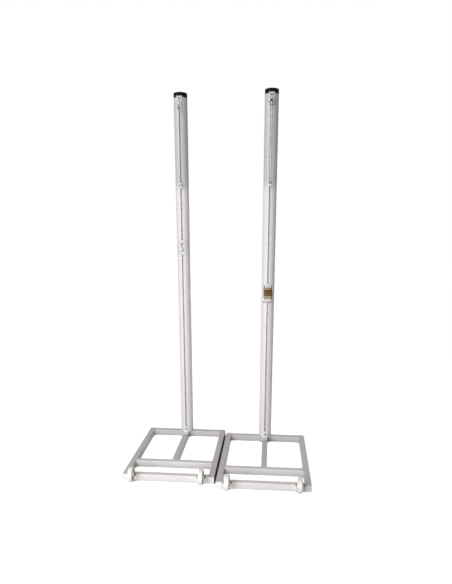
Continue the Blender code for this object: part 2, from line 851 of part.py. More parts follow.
def net_link(axis):
    """A lug on the left post and the link that hangs in it."""
    plate_rear = FLAT_SEAT
    lug = box(
        "left_link_lug",
        (-LUG_WIDTH / 2, plate_rear - FITTING_PLATE, -LUG_HEIGHT / 2),
        (LUG_WIDTH / 2, plate_rear, LUG_HEIGHT / 2),
    )
    pivot_y = plate_rear - FITTING_PLATE - LUG_REACH + LUG_EAR / 2
    root_y = plate_rear - FITTING_PLATE / 2
    root_high = LUG_HEIGHT / 2 - LUG_EAR_MARGIN
    outline = ear_outline(
        (root_y, -root_high), (root_y, root_high), (pivot_y, 0), LUG_EAR / 2
    )
    half = LUG_EAR_THICKNESS / 2
    lug_ear = ear(
        "left_lug_ear", outline, LINK_ROD / 2 + RUN, (pivot_y, 0), -half, half, CUTTERS
    )
    join(lug, lug_ear, ALONG_X)
    add_tee(lug, root_y, -LUG_HEIGHT / 2 + SEAT, LUG_HEIGHT / 2 - SEAT)
    place(lug, (0, 0, LINK_PIVOT_Z), axis)
    set_material(lug, ZINC)
    pivot = new_empty("left_link_pivot", (0, pivot_y, LINK_PIVOT_Z), axis)
    link = bent_rod("left_net_link", link_route(), LINK_ROD, closed=True)
    place(link, (0, 0, 0), pivot)
    set_material(link, ZINC)


def slide_block(name, z, height, axis):
    """A block on the slot with its tee behind the lips, in a frame of its own."""
    runner = new_empty(name + "_runner", (0, 0, z), axis)
    half = SLIDE_WIDTH / 2
    block = box(
        name, (-half, SLIDE_SEAT - SLIDE_DEPTH, -height / 2), (half, SLIDE_SEAT, height / 2)
    )
    add_tee(block, SLIDE_SEAT - SLIDE_DEPTH / 2, -height / 2 + SEAT, height / 2 - SEAT)
    place(block, (0, 0, 0), runner)
    set_material(block, POST_WHITE)
    return block


def left_slides(axis):
    upper = slide_block("left_upper_slide", LEFT_SLIDE_Z, LEFT_SLIDE_HEIGHT, axis)
    catch = bent_rod(
        "left_slide_catch", v_points(CATCH_WIDTH, -CATCH_HEIGHT, 0), ROD_DIAMETER
    )
    catch_y = SLIDE_SEAT - SLIDE_DEPTH - SEAT - ROD_DIAMETER / 2
    place(catch, (0, catch_y, 0), upper.parent)
    set_material(catch, DARK_STEEL)

    runner = new_empty("left_saddle_runner", (0, 0, SADDLE_Z), axis)
    half = SADDLE_HEIGHT / 2
    saddle = extruded(
        "left_saddle", [saddle_outline(SADDLE_WIDTH, SADDLE_PLATE)], -half, half
    )
    add_tee(saddle, SLIDE_SEAT - SADDLE_PLATE / 2, -half + SEAT, half - SEAT)
    place(saddle, (0, 0, 0), runner)
    set_material(saddle, POST_WHITE)
    lean = math.acos(S_HOOK_RADIUS / S_HOOK_REACH)  # where the straight middle leaves a bend
    upper_bend = arc((0, S_HOOK_REACH), S_HOOK_RADIUS, 0, 1.5 * math.pi - lean, 10)
    lower_bend = arc((0, -S_HOOK_REACH), S_HOOK_RADIUS, math.pi / 2 - lean, -math.pi, 10)
    route = [(x, 0, z) for x, z in upper_bend + lower_bend]
    hook = bent_rod("left_s_hook", route, ROD_DIAMETER)
    place(hook, (0, SLIDE_SEAT - SADDLE_PLATE - SEAT - ROD_DIAMETER / 2, 0), runner)
    set_material(hook, DARK_STEEL)


def headed_pin(name, length, head, location, parent):
    """A plain pin along X with a flat head at each end. head is (diameter, thickness)."""
    radius = PIN_DIAMETER / 2
    rim = head[0] / 2
    end = length / 2 + head[1]
    upper = [(0, end), (rim, end), (rim, length / 2), (radius, length / 2)]
    lower = [(spread, -height) for spread, height in reversed(upper)]
    pin = turned(name, upper + lower, PIN_SEGMENTS)
    place(pin, location, parent, AXIS_X)
    set_material(pin, DARK_STEEL)


def pulley(axis):
    """Two cheeks on the right post's front, with the sheave between them."""
    reach = -(SHEAVE_Y - FLAT_SEAT)
    width = CHEEK_GAP + 2 * (PULLEY_CHEEK + YOKE_MARGIN)
    bracket = yoke(
        "right_pulley_bracket",
        (width, -CHEEK_HEIGHT / 2, CHEEK_HEIGHT / 2),
        PULLEY_CHEEK,
        FITTING_PLATE,
        CHEEK_GAP,
        (reach, 0),
        CHEEK_EAR / 2,
        PIN_DIAMETER / 2 + SEAT,
    )
    tee = extruded(
        "right_pulley_bracket_tee",
        [tee_outline(FLAT_SEAT - FITTING_PLATE / 2)],
        -CHEEK_HEIGHT / 2 + SEAT,
        CHEEK_HEIGHT / 2 - SEAT,
        CUTTERS,
    )
    join(bracket, tee, location=(0, -FLAT_SEAT, 0))
    place(bracket, (0, FLAT_SEAT, SHEAVE_Z), axis)
    set_material(bracket, POST_WHITE)

    pivot = new_empty("right_sheave_pivot", (0, SHEAVE_Y, SHEAVE_Z), axis)
    outer = SHEAVE_DIAMETER / 2
    bottom = outer - GROOVE_DEPTH
    bore = PIN_DIAMETER / 2 + SEAT
    hub_half = CHEEK_GAP / 2 - SEAT
    upper = [
        (bore, hub_half),
        (outer / 2, hub_half),
        (outer / 2, SHEAVE_RIM / 2),
        (outer, SHEAVE_RIM / 2),
        (outer, GROOVE_WIDTH / 2),
        (bottom, CABLE_DIAMETER / 4),
    ]
    lower = [(radius, -height) for radius, height in reversed(upper)]
    sheave = turned("right_sheave", upper + lower, WHEEL_SEGMENTS, ring=True)
    place(sheave, (0, 0, 0), pivot, AXIS_X)
    set_material(sheave, DARK_STEEL)
    pin_length = CHEEK_GAP + 2 * (PULLEY_CHEEK + SEAT)
    pin_head = (SHEAVE_PIN_HEAD_DIAMETER, SHEAVE_PIN_HEAD)
    headed_pin("right_sheave_pin", pin_length, pin_head, pivot.location, axis)


def tension_cable(axis):
    """From the slide's eye, up the post's front, over the sheave to a ferrule."""
    eye_top = RIGHT_SLIDE_Z + RIGHT_SLIDE_HEIGHT / 2 - EYE_WELD + EYE_DIAMETER + EYE_WIRE
    wrap = arc((SHEAVE_Y, SHEAVE_Z), WRAP_RADIUS, 0, math.pi, 12)
    end_z = SHEAVE_Z - FERRULE_DROP
    route = [(0, CABLE_Y, eye_top + SEAT)] + [(0, y, z) for y, z in wrap]
    route.append((0, SHEAVE_Y - WRAP_RADIUS, end_z))
    cable = bent_rod("right_cable", route, CABLE_DIAMETER)
    place(cable, (0, 0, 0), axis)
    set_material(cable, ZINC)
    radius = FERRULE_DIAMETER / 2
    shoulder = radius - FERRULE_EDGE
    ferrule = turned(
        "right_cable_ferrule",
        [
            (0, 0),
            (shoulder, 0),
            (radius, -FERRULE_EDGE),
            (radius, FERRULE_EDGE - FERRULE_LENGTH),
            (shoulder, -FERRULE_LENGTH),
            (0, -FERRULE_LENGTH),
        ],
        PIN_SEGMENTS,
    )
    place(ferrule, (0, SHEAVE_Y - WRAP_RADIUS, end_z - SEAT), axis)
    set_material(ferrule, ZINC)


def right_slide(axis):
    """The slide that the cable pulls on, with its eye welded to the block's top."""
    block = slide_block("right_upper_slide", RIGHT_SLIDE_Z, RIGHT_SLIDE_HEIGHT, axis)
    eye = wire_ring("right_slide_eye", EYE_DIAMETER, EYE_WIRE)
    rise = RIGHT_SLIDE_HEIGHT / 2 - EYE_WELD + (EYE_DIAMETER + EYE_WIRE) / 2
    join(block, eye, ALONG_FRONT, (0, CABLE_Y, rise))


def tension_lever(runner):
    """The lever, which swings out from between the carriage's cheeks, and its plain plate."""
    pivot = new_empty("right_lever_pivot", (0, LEVER_PIVOT_Y, LEVER_PIVOT_RISE), runner)
    barrel = LEVER_BARREL / 2
    rear_angle = math.acos((LEVER_PLATE - barrel) / barrel)
    outline = [(-barrel, -LEVER_LENGTH)]
    outline += arc((0, 0), barrel, math.pi, -rear_angle, 16)
    outline += [(LEVER_PLATE - barrel, -LEVER_LENGTH)]
    bore = circle(PIN_DIAMETER / 2 + SEAT, PIN_SEGMENTS)
    half = CHEEK_SPACING / 2 - RUN
    lever = extruded("right_tension_lever", [outline, bore], -half, half)
    place(lever, (0, 0, 0), pivot, ALONG_X)
    set_material(lever, ZINC)

    plate = extruded(
        "right_name_plate",
        [rounded_rectangle(NAME_PLATE_WIDTH, NAME_PLATE_HEIGHT, NAME_PLATE_CORNER)],
        0,
        NAME_PLATE_THICKNESS,
    )
    drop = NAME_PLATE_HEIGHT / 2 + (LEVER_LENGTH - NAME_PLATE_HEIGHT) / 2
    place(plate, (0, -barrel - SEAT, -drop), pivot, ALONG_FRONT)
    set_material(plate, LABEL_BRONZE)
    return pivot


def tension_carriage(axis):
    """A saddle that slides on the right post and carries the lever clamp."""
    runner = new_empty("right_carriage_runner", (0, 0, CARRIAGE_Z), axis)
    half = CARRIAGE_HEIGHT / 2
    saddle = extruded(
        "right_carriage", [saddle_outline(SADDLE_WIDTH, SADDLE_PLATE)], -half, half
    )
    add_tee(saddle, SLIDE_SEAT - SADDLE_PLATE / 2, -half + SEAT, half - SEAT)
    cheek_middle = (CHEEK_SPACING + CHEEK_PLATE) / 2
    mid_radius = POST_RADIUS + RUN + SADDLE_PLATE / 2
    root_y = -math.sqrt(mid_radius**2 - cheek_middle**2)
    high = half - SADDLE_PLATE
    outline = ear_outline(
        (root_y, high - CARRIAGE_CHEEK_HEIGHT),
        (root_y, high),
        (LEVER_PIVOT_Y, LEVER_PIVOT_RISE),
        CARRIAGE_EAR / 2,
    )
    pin_hole = PIN_DIAMETER / 2 + SEAT
    for number, side in enumerate((-1, 1)):
        near = side * CHEEK_SPACING / 2
        far = side * (CHEEK_SPACING / 2 + CHEEK_PLATE)
        cheek = ear(
            f"right_carriage_cheek_{number}",
            outline,
            pin_hole,
            (LEVER_PIVOT_Y, LEVER_PIVOT_RISE),
            min(near, far),
            max(near, far),
            CUTTERS,
        )
        join(saddle, cheek, ALONG_X)
    face = SLIDE_SEAT - SADDLE_PLATE
    jaw_low = -half + JAW_RISE
    jaw = extruded(
        "right_carriage_jaw",
        [jaw_outline(JAW_WIDTH, face - JAW_DEPTH, mid_radius)],
        jaw_low,
        jaw_low + JAW_HEIGHT,
        CUTTERS,
    )
    join(saddle, jaw)
    place(saddle, (0, 0, 0), runner)
    set_material(saddle, POST_WHITE)

    bar = extruded(
        "right_clamp_bar",
        [saddle_outline(SADDLE_WIDTH, CLAMP_BAR_DEPTH)],
        -half - SEAT - CLAMP_BAR_HEIGHT,
        -half - SEAT,
    )
    place(bar, (0, 0, 0), runner)
    set_material(bar, DARK_STEEL)

    oval = [
        (x * CARRIAGE_EYE_WIDTH / 2, 0, z * CARRIAGE_EYE_HEIGHT / 2) for x, z in circle(1, 24)
    ]
    eye = bent_rod("right_carriage_eye", oval, CARRIAGE_EYE_WIRE, closed=True)
    rise = LEVER_PIVOT_RISE + (LEVER_BARREL + CARRIAGE_EYE_HEIGHT + CARRIAGE_EYE_WIRE) / 2
    place(eye, (0, face - SEAT - CARRIAGE_EYE_WIRE / 2, rise + 2 * RUN), runner)
    set_material(eye, ZINC)
    pivot = tension_lever(runner)
    pin_length = CHEEK_SPACING + 2 * (CHEEK_PLATE + SEAT)
    pin_head = (LEVER_PIN_HEAD_DIAMETER, LEVER_PIN_HEAD)
    headed_pin("right_lever_pin", pin_length, pin_head, pivot.location, runner)


# The pair


def post_stand(side, x, rear_y, towards_pair):
    frame = new_empty(f"{side}_frame_origin", (x, rear_y, 0))
    base_frame(side, frame, towards_pair)
    for which, direction in (("inner", towards_pair), ("outer", -towards_pair)):
        tilt_wheel(side, which, direction * WHEEL_X, frame)
    axis = new_empty(f"{side}_post_axis", (0, -POST_INSET, 0), frame)
    foot_socket(side, axis)
    foot_bracket(side, axis)
    post(side, axis)
    cap(side, axis)
    top_plate(side, axis)
    return axis


left_axis = post_stand("left", -PAIR_PITCH / 2, LEFT_REAR_Y, 1)
net_link(left_axis)
left_slides(left_axis)

right_axis = post_stand("right", PAIR_PITCH / 2, LEFT_REAR_Y - PAIR_STAGGER, -1)
pulley(right_axis)
tension_cable(right_axis)
right_slide(right_axis)
tension_carriage(right_axis)
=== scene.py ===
# %% [markdown]
# # A pair of wheeled net posts
# Two round posts stand side by side. Each has a slot down its front for sliding fittings, and a
# steel frame with two small wheels under it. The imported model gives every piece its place, so the
# script starts by loading it. Everything after that is about how the surfaces look.

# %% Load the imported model
import json
import math

import bmesh
import bpy
from mathutils import Matrix, Vector

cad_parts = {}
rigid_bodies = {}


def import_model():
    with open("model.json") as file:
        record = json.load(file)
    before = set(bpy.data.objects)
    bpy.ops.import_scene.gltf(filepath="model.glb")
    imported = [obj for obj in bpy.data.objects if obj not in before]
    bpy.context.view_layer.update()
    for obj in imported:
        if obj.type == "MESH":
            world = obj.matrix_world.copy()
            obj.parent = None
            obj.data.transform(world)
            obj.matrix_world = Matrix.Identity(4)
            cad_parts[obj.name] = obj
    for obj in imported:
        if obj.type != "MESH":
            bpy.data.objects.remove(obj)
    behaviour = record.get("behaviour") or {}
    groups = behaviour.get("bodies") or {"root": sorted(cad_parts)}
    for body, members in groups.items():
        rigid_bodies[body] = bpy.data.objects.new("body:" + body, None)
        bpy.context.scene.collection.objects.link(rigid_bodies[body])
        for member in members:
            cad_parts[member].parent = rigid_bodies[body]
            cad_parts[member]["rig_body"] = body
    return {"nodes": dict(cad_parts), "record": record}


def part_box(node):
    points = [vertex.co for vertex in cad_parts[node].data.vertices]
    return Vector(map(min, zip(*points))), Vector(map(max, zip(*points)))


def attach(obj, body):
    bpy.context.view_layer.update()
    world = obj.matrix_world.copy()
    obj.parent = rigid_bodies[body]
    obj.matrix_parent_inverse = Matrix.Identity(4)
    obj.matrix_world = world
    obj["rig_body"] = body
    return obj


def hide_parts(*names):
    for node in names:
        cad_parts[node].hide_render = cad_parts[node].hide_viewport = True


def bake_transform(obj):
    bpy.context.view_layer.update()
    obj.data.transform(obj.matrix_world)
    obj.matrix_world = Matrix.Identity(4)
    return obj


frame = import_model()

SIDES = ("left", "right")
NODES = frame["nodes"]
SLOT_OF = {part["node"]: part["material_slot"] for part in frame["record"]["subparts"]}
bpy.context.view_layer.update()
print("pieces in the packed model:", len(NODES))

# %% [markdown]
# ## Camera
# A camera is a place, a direction and a focal length. These numbers came from fitting the posts'
# edges and the base frames' edges to a photo of the object. The photo was framed a little high,
# so the lens is shifted instead of tilting the camera further.

# %% Place the camera
PHOTO_WIDTH = 452
PHOTO_HEIGHT = 584
FOCAL_PIXELS = 479.56
CENTRE_PIXEL = (233.45, 354.90)  # where the lens's axis meets the photo
CAMERA_PLACE = Vector((0.3332, -3.1872, 1.5964))
CAMERA_HEADING = 0.07539  # radians, anticlockwise from +Y
CAMERA_DIP = 0.24448
CAMERA_ROLL = 0.00346
SENSOR = 36.0  # millimetres, along the photo's long side


def add_object(name, data):
    obj = bpy.data.objects.new(name, data)
    bpy.context.scene.collection.objects.link(obj)
    return obj


camera_data = bpy.data.cameras.new("photo_camera")
camera_data.sensor_width = SENSOR
camera_data.lens = FOCAL_PIXELS * SENSOR / PHOTO_HEIGHT
camera_data.shift_x = (PHOTO_WIDTH / 2 - CENTRE_PIXEL[0]) / PHOTO_HEIGHT
camera_data.shift_y = (CENTRE_PIXEL[1] - PHOTO_HEIGHT / 2) / PHOTO_HEIGHT
camera = add_object("photo_camera", camera_data)
camera.matrix_world = (
    Matrix.Translation(CAMERA_PLACE)
    @ Matrix.Rotation(CAMERA_HEADING, 4, "Z")
    @ Matrix.Rotation(math.pi / 2 - CAMERA_DIP, 4, "X")
    @ Matrix.Rotation(CAMERA_ROLL, 4, "Z")
)
bpy.context.scene.camera = camera
print("lens in millimetres:", round(camera_data.lens, 2))

# %% [markdown]
# ## Node trees in short form
# Materials and Geometry Nodes are both trees of nodes. One helper adds a node, sets its inputs
# and joins the ones that come from another node, so that each tree below reads like a recipe.


# %% Helpers for every tree
def fill(tree, made, inputs):
    """Sets a node's inputs, or joins them where the value is another node's socket."""
    for key, value in inputs.items():
        if isinstance(value, bpy.types.NodeSocket):
            tree.links.new(value, made.inputs[key])
        else:
            made.inputs[key].default_value = value
    return made


def node(tree, kind, inputs=None, **settings):
    made = tree.nodes.new(kind)
    for name, value in settings.items():
        setattr(made, name, value)
    return fill(tree, made, inputs or {})


def maths(tree, operation, first, second=0.0):
    return node(tree, "ShaderNodeMath", {0: first, 1: second}, operation=operation).outputs[0]


def times(tree, first, second):
    return maths(tree, "MULTIPLY", first, second)


def vector_maths(tree, operation, inputs):
    return node(tree, "ShaderNodeVectorMath", inputs, operation=operation).outputs[0]


# %% New trees with named inputs
GEOMETRY = "NodeSocketGeometry"
MATERIAL = "NodeSocketMaterial"
SOCKETS = {float: "NodeSocketFloat", int: "NodeSocketInt", tuple: "NodeSocketVector"}


def new_tree(name, kind, inputs, outputs):
    """An empty tree. Its inputs are {name: default}, or the socket where there is no default."""
    tree = bpy.data.node_groups.new(name, kind + "NodeTree")
    for label, default in inputs.items():
        if isinstance(default, str):
            tree.interface.new_socket(label, in_out="INPUT", socket_type=default)
        else:
            socket = SOCKETS[type(default)]
            made = tree.interface.new_socket(label, in_out="INPUT", socket_type=socket)
            made.default_value = default
    made_socket = GEOMETRY if kind == "Geometry" else SOCKETS[float]
    for label in outputs:
        tree.interface.new_socket(label, in_out="OUTPUT", socket_type=made_socket)
    return tree, tree.nodes.new("NodeGroupInput").outputs, tree.nodes.new("NodeGroupOutput")


# %% [markdown]
# ## Effects that several finishes share
# Real paint, plastic and plating are never one even colour. Three small shader groups are built
# once and used with different values: **clouding** varies the tone in soft patches, **scratches**
# draws thin worn lines, and **floor dust** gathers in the lowest part of the frame.


# %% Nodes that these groups share
def object_place(tree):
    return node(tree, "ShaderNodeTexCoord").outputs["Object"]


def noise(tree, place, scale, detail, **more):
    inputs = {"Vector": place, "Scale": scale, "Detail": detail, **more}
    return node(tree, "ShaderNodeTexNoise", inputs).outputs[0]


def spread(tree, value, start, end):
    """0 where the value is at start, 1 where it is at end."""
    inputs = {"Value": value, "From Min": start, "From Max": end}
    return node(tree, "ShaderNodeMapRange", inputs).outputs[0]


# %% Clouding: soft patches and fine grain
def build_clouding():
    inputs = {"Patch Scale": 5.0, "Grain Scale": 700.0, "Low": 0.35, "High": 0.65}
    tree, given, out = new_tree("clouding", "Shader", inputs, ["Patches", "Grain"])
    place = object_place(tree)
    patches = noise(tree, place, given["Patch Scale"], 4.0, Roughness=0.6)
    patches = spread(tree, patches, given["Low"], given["High"])
    grain = noise(tree, place, given["Grain Scale"], 2.0)
    fill(tree, out, {"Patches": patches, "Grain": grain})
    return tree


# %% Scratches: thin lines that come and go
def build_scratches():
    inputs = {"Across": (60.0, 60.0, 5.0), "Width": 0.03, "Cover": 0.55}
    tree, given, out = new_tree("scratches", "Shader", inputs, ["Mask"])
    place = object_place(tree)
    stretched = vector_maths(tree, "MULTIPLY", {0: place, 1: given["Across"]})
    inputs = {"Vector": stretched, "Scale": 1.0}
    cells = node(tree, "ShaderNodeTexVoronoi", inputs, feature="DISTANCE_TO_EDGE")
    line = maths(tree, "LESS_THAN", cells.outputs["Distance"], given["Width"])
    gate = noise(tree, place, 9.0, 3.0)
    shown = maths(tree, "GREATER_THAN", gate, given["Cover"])
    fill(tree, out, {"Mask": times(tree, line, shown)})
    return tree


# %% Floor dust: thickest at the floor, gone at the given height
def build_floor_dust():
    inputs = {"Height": 0.12, "Amount": 0.5}
    tree, given, out = new_tree("floor_dust", "Shader", inputs, ["Mask"])
    place = object_place(tree)
    height = node(tree, "ShaderNodeSeparateXYZ", {0: place}).outputs["Z"]
    fade = spread(tree, height, given["Height"], 0.0)
    speckle = noise(tree, place, 70.0, 5.0)
    dust = times(tree, times(tree, fade, speckle), given["Amount"])
    dust.node.use_clamp = True
    fill(tree, out, {"Mask": dust})
    return tree


CLOUDING = build_clouding()
SCRATCHES = build_scratches()
FLOOR_DUST = build_floor_dust()
print("shader groups:", CLOUDING.name, SCRATCHES.name, FLOOR_DUST.name)

# %% [markdown]
# ## Finishes
# Each finish is a Principled shader. Its colour and roughness come from the groups above, and a
# Bump node turns the fine grain into the slight unevenness that paint and moulded plastic have.
# Numbers that are the same all over a surface go straight onto the shader's own sockets.


# %% Helpers for materials
def new_material(name, sockets):
    """A material with its tree and its shader, whose own sockets get the given values."""
    material = bpy.data.materials.new(name)
    material.use_nodes = True
    tree = material.node_tree
    return material, tree, fill(tree, tree.nodes["Principled BSDF"], sockets)


def use_group(tree, group, values=None):
    return node(tree, "ShaderNodeGroup", values, node_tree=group).outputs


def blend_colour(tree, factor, first, second):
    """Between two colours, each a socket or (red, green, blue)."""
    first, second = ((*c, 1.0) if isinstance(c, tuple) else c for c in (first, second))
    inputs = {0: factor, 6: first, 7: second}
    return node(tree, "ShaderNodeMix", inputs, data_type="RGBA").outputs[2]


def blend_value(tree, factor, low, high):
    inputs = {0: factor, 2: low, 3: high}
    return node(tree, "ShaderNodeMix", inputs, data_type="FLOAT").outputs[0]


def finish_surface(tree, shader, base, rough, grain, depth):
    bump = node(tree, "ShaderNodeBump", {"Height": grain, "Distance": depth, "Strength": 1.0})
    fill(tree, shader, {"Base Color": base, "Roughness": rough, "Normal": bump.outputs[0]})


def along(tree, axis, start, end):
    """0 before start and 1 after end, along Z, or along X on either side of the middle."""
    measure = node(tree, "ShaderNodeSeparateXYZ", {0: object_place(tree)}).outputs[axis]
    if axis == "X":
        measure = maths(tree, "ABSOLUTE", measure)
    return spread(tree, measure, start, end)


FINISH = {}  # every finish by its name; the record's slots are among the names

# %% [markdown]
# Paint comes first: powder coat on the posts and fittings, and satin paint on the frames. The
# posts are pinkish white, and greyer above the slides, which is painted shade. The frames are
# light grey and a little pinker between the pair. Their middle and front bars get a lighter paint,
# which is painted light, and the sides of the two rails that face each other across the gap get a
# dark coat, which is painted shade.

# %% Paints
POWDER_GRAIN = 0.00008  # metres, how deep the coat's grain is
SATIN_GRAIN = 0.00010
SATIN = ("dull_zinc", "frame_paint", "bar_paint", "gap_shade")
FLOOR_DIRT = (0.42, 0.39, 0.34)
DUSTY_ROUGHNESS = 0.8
PAINTS = {  # name: colour, second tone, worn colour, roughness, gate for scratches, dust
    "post_paint": ((0.86, 0.85, 0.85), (0.82, 0.81, 0.81), (0.60, 0.59, 0.58), 0.30, 0.70, 0.35),
    "slide_paint": ((0.79, 0.765, 0.75), (0.73, 0.705, 0.685), (0.56, 0.56, 0.54), 0.42, 0.66, 0),
    "dull_zinc": ((0.66, 0.67, 0.65), (0.57, 0.58, 0.565), (0.45, 0.45, 0.44), 0.46, 0.62, 0),
    "post_coat": ((0.87, 0.825, 0.835), (0.84, 0.80, 0.81), (0.66, 0.63, 0.63), 0.32, 0.70, 0.25),
    "channel_coat": ((0.78, 0.75, 0.75), (0.73, 0.70, 0.70), (0.60, 0.58, 0.57), 0.45, 0.68, 0.25),
    "band_grey": ((0.40, 0.36, 0.335), (0.33, 0.30, 0.28), (0.20, 0.18, 0.17), 0.40, 0.60, 0),
    "frame_paint": ((0.66, 0.625, 0.625), (0.615, 0.58, 0.58), (0.5, 0.47, 0.46), 0.36, 0.7, 0.5),
    # painted light: the middle and front bars are lighter than the other tubes
    "bar_paint": ((0.79, 0.76, 0.765), (0.74, 0.71, 0.715), (0.56, 0.53, 0.525), 0.36, 0.7, 0.4),
    # painted shade: the dark coat on the rails' sides that face each other across the gap
    "gap_shade": ((0.20, 0.175, 0.165), (0.15, 0.13, 0.125), (0.10, 0.09, 0.085), 0.70, 0.60, 0),
}
ELSEWHERE = {  # name: another colour, and the axis and places between which it takes over
    # painted shade: the posts are greyer above the slides
    "post_coat": ((0.60, 0.61, 0.595), "Z", 1.89, 1.97),
    "frame_paint": ((0.645, 0.64, 0.63), "X", 0.10, 0.22),
}


def coat_of_paint(name, colour, tint, worn, roughness, cover, dust):
    """Paint: patches between two tones, fine grain, a few worn scratches and floor dust."""
    coat = {"Coat Weight": 0.15, "Coat Roughness": 0.25}
    material, tree, shader = new_material(name, coat)
    clouds = use_group(tree, CLOUDING)
    scratched = use_group(tree, SCRATCHES, {"Cover": cover})[0]
    dusty = use_group(tree, FLOOR_DUST, {"Amount": dust})[0]
    base = blend_colour(tree, clouds["Patches"], colour, tint)
    if name in ELSEWHERE:
        other, *where = ELSEWHERE[name]
        base = blend_colour(tree, along(tree, *where), base, other)
    base = blend_colour(tree, scratched, base, worn)
    base = blend_colour(tree, dusty, base, FLOOR_DIRT)
    rough = blend_value(tree, clouds["Patches"], roughness, roughness + 0.08)
    rough = blend_value(tree, dusty, rough, DUSTY_ROUGHNESS)
    depth = SATIN_GRAIN if name in SATIN else POWDER_GRAIN
    finish_surface(tree, shader, base, rough, clouds["Grain"], depth)
    return material


for name, values in PAINTS.items():
    FINISH[name] = coat_of_paint(name, *values)
print("paints:", len(PAINTS))

# %% [markdown]
# The wheels are nylon, and the tube plugs and the caps are moulded too. Their patches are
# smaller than a paint's. Cream and taupe are the colours of the jaw and of the plate's bands.

# %% Moulded plastics
NYLON_DIRT = (0.50, 0.46, 0.41)
DIRT_HEIGHT = 0.11
PLASTIC_GRAIN = 0.00006
PLASTICS = {  # name: colour, second tone, roughness, patches in a metre, dust, shine
    "wheel_nylon": ((0.87, 0.845, 0.80), (0.80, 0.77, 0.72), 0.42, 30.0, 0.45, 0.45),
    "plug_plastic": ((0.86, 0.86, 0.855), (0.78, 0.78, 0.775), 0.48, 30.0, 0.35, 0.45),
    "cap_plastic": ((0.003, 0.003, 0.0035), (0.006, 0.006, 0.0065), 0.46, 40.0, 0.0, 0.09),
    "cream": ((0.78, 0.68, 0.585), (0.73, 0.63, 0.54), 0.45, 60.0, 0.0, 0.45),
    "taupe": ((0.42, 0.325, 0.245), (0.37, 0.285, 0.21), 0.45, 60.0, 0.0, 0.45),
}


def moulded_plastic(name, colour, tint, roughness, patch_scale, dust, shine):
    material, tree, shader = new_material(name, {"Specular IOR Level": shine})
    clouds = use_group(tree, CLOUDING, {"Patch Scale": patch_scale, "Grain Scale": 1400.0})
    dusty = use_group(tree, FLOOR_DUST, {"Amount": dust, "Height": DIRT_HEIGHT})[0]
    base = blend_colour(tree, clouds["Patches"], colour, tint)
    base = blend_colour(tree, dusty, base, NYLON_DIRT)
    rough = blend_value(tree, clouds["Patches"], roughness, roughness + 0.12)
    finish_surface(tree, shader, base, rough, clouds["Grain"], PLASTIC_GRAIN)
    return material


for name, values in PLASTICS.items():
    FINISH[name] = moulded_plastic(name, *values)
print("plastics:", len(PLASTICS))

# %% [markdown]
# Bare metal is all reflection, so its Metallic value is 1 and its colour tints what it mirrors.
# Zinc and steel are on the small fittings, and the brown tones are on the lever and its plate.

# %% Metals
METAL_GRAIN = 0.00005
METALS = {  # name: colour, second tone, scratches' colour, roughness, gate for scratches
    "zinc": ((0.78, 0.78, 0.77), (0.68, 0.68, 0.67), (0.88, 0.88, 0.88), 0.42, 0.62),
    "dark_steel": ((0.13, 0.13, 0.13), (0.08, 0.08, 0.085), (0.38, 0.37, 0.36), 0.38, 0.66),
    "grey_steel": ((0.36, 0.36, 0.355), (0.29, 0.29, 0.285), (0.55, 0.55, 0.54), 0.42, 0.64),
    "greased_wire": ((0.06, 0.06, 0.06), (0.045, 0.045, 0.045), (0.1, 0.1, 0.1), 0.45, 0.62),
    "lever_brown": ((0.095, 0.07, 0.04), (0.075, 0.054, 0.03), (0.18, 0.14, 0.09), 0.48, 0.64),
    "bronze": ((0.092, 0.058, 0.027), (0.07, 0.043, 0.019), (0.15, 0.105, 0.06), 0.46, 0.64),
    "pale_bronze": ((0.22, 0.155, 0.09), (0.185, 0.13, 0.072), (0.3, 0.235, 0.155), 0.44, 0.66),
    "brown_line": ((0.06, 0.036, 0.014), (0.05, 0.03, 0.012), (0.12, 0.08, 0.04), 0.48, 0.66),
}


def worked_metal(name, colour, tint, worn, roughness, cover):
    material, tree, shader = new_material(name, {"Metallic": 1.0})
    clouds = use_group(tree, CLOUDING, {"Patch Scale": 90.0, "Grain Scale": 1600.0})
    fine_lines = {"Across": (900.0, 900.0, 60.0), "Width": 0.05, "Cover": cover}
    scratched = use_group(tree, SCRATCHES, fine_lines)[0]
    base = blend_colour(tree, clouds["Patches"], colour, tint)
    base = blend_colour(tree, scratched, base, worn)
    rough = blend_value(tree, clouds["Patches"], roughness, roughness + 0.15)
    finish_surface(tree, shader, base, rough, clouds["Grain"], METAL_GRAIN)
    return material


for name, values in METALS.items():
    FINISH[name] = worked_metal(name, *values)
print("finishes:", ", ".join(FINISH))

# %% [markdown]
# ## Dressing a piece
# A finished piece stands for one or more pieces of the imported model. It takes its slot from the
# record's list and moves with the same body, so one helper can do all of that from the packed
# piece's name. A slot's own finish is used unless another one is named.


# %% Helpers that make and dress a mesh
def new_object(name, shape):
    """Turns a bmesh into an object, with its faces pointing outwards."""
    bmesh.ops.recalc_face_normals(shape, faces=shape.faces)
    mesh = bpy.data.meshes.new(name)
    shape.to_mesh(mesh)
    shape.free()
    return add_object(name, mesh)


def smooth(obj, angle=30):
    obj.data.shade_smooth()
    obj.data.set_sharp_from_angle(angle=math.radians(angle))
    return obj


def add_detail(obj, slot, body, finish=None):
    """Gives a piece the named finish, or else its slot's finish, and lets it ride on a body."""
    obj.data.materials.clear()
    obj.data.materials.append(FINISH[finish or slot])
    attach(obj, body)
    return obj


def dress(obj, *nodes, finish=None):
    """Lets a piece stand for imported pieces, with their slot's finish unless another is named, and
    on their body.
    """
    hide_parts(*nodes)
    return add_detail(obj, SLOT_OF[nodes[0]], NODES[nodes[0]]["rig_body"], finish)


def repaint(obj, finish, chosen):
    """Gives another finish to the faces for which chosen(face) is true, and counts them."""
    obj.data.materials.append(FINISH[finish])
    faces = [face for face in obj.data.polygons if chosen(face)]
    for face in faces:
        face.material_index = 1
    return len(faces)


def middle_of(name):
    low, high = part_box(name)
    return (low + high) / 2


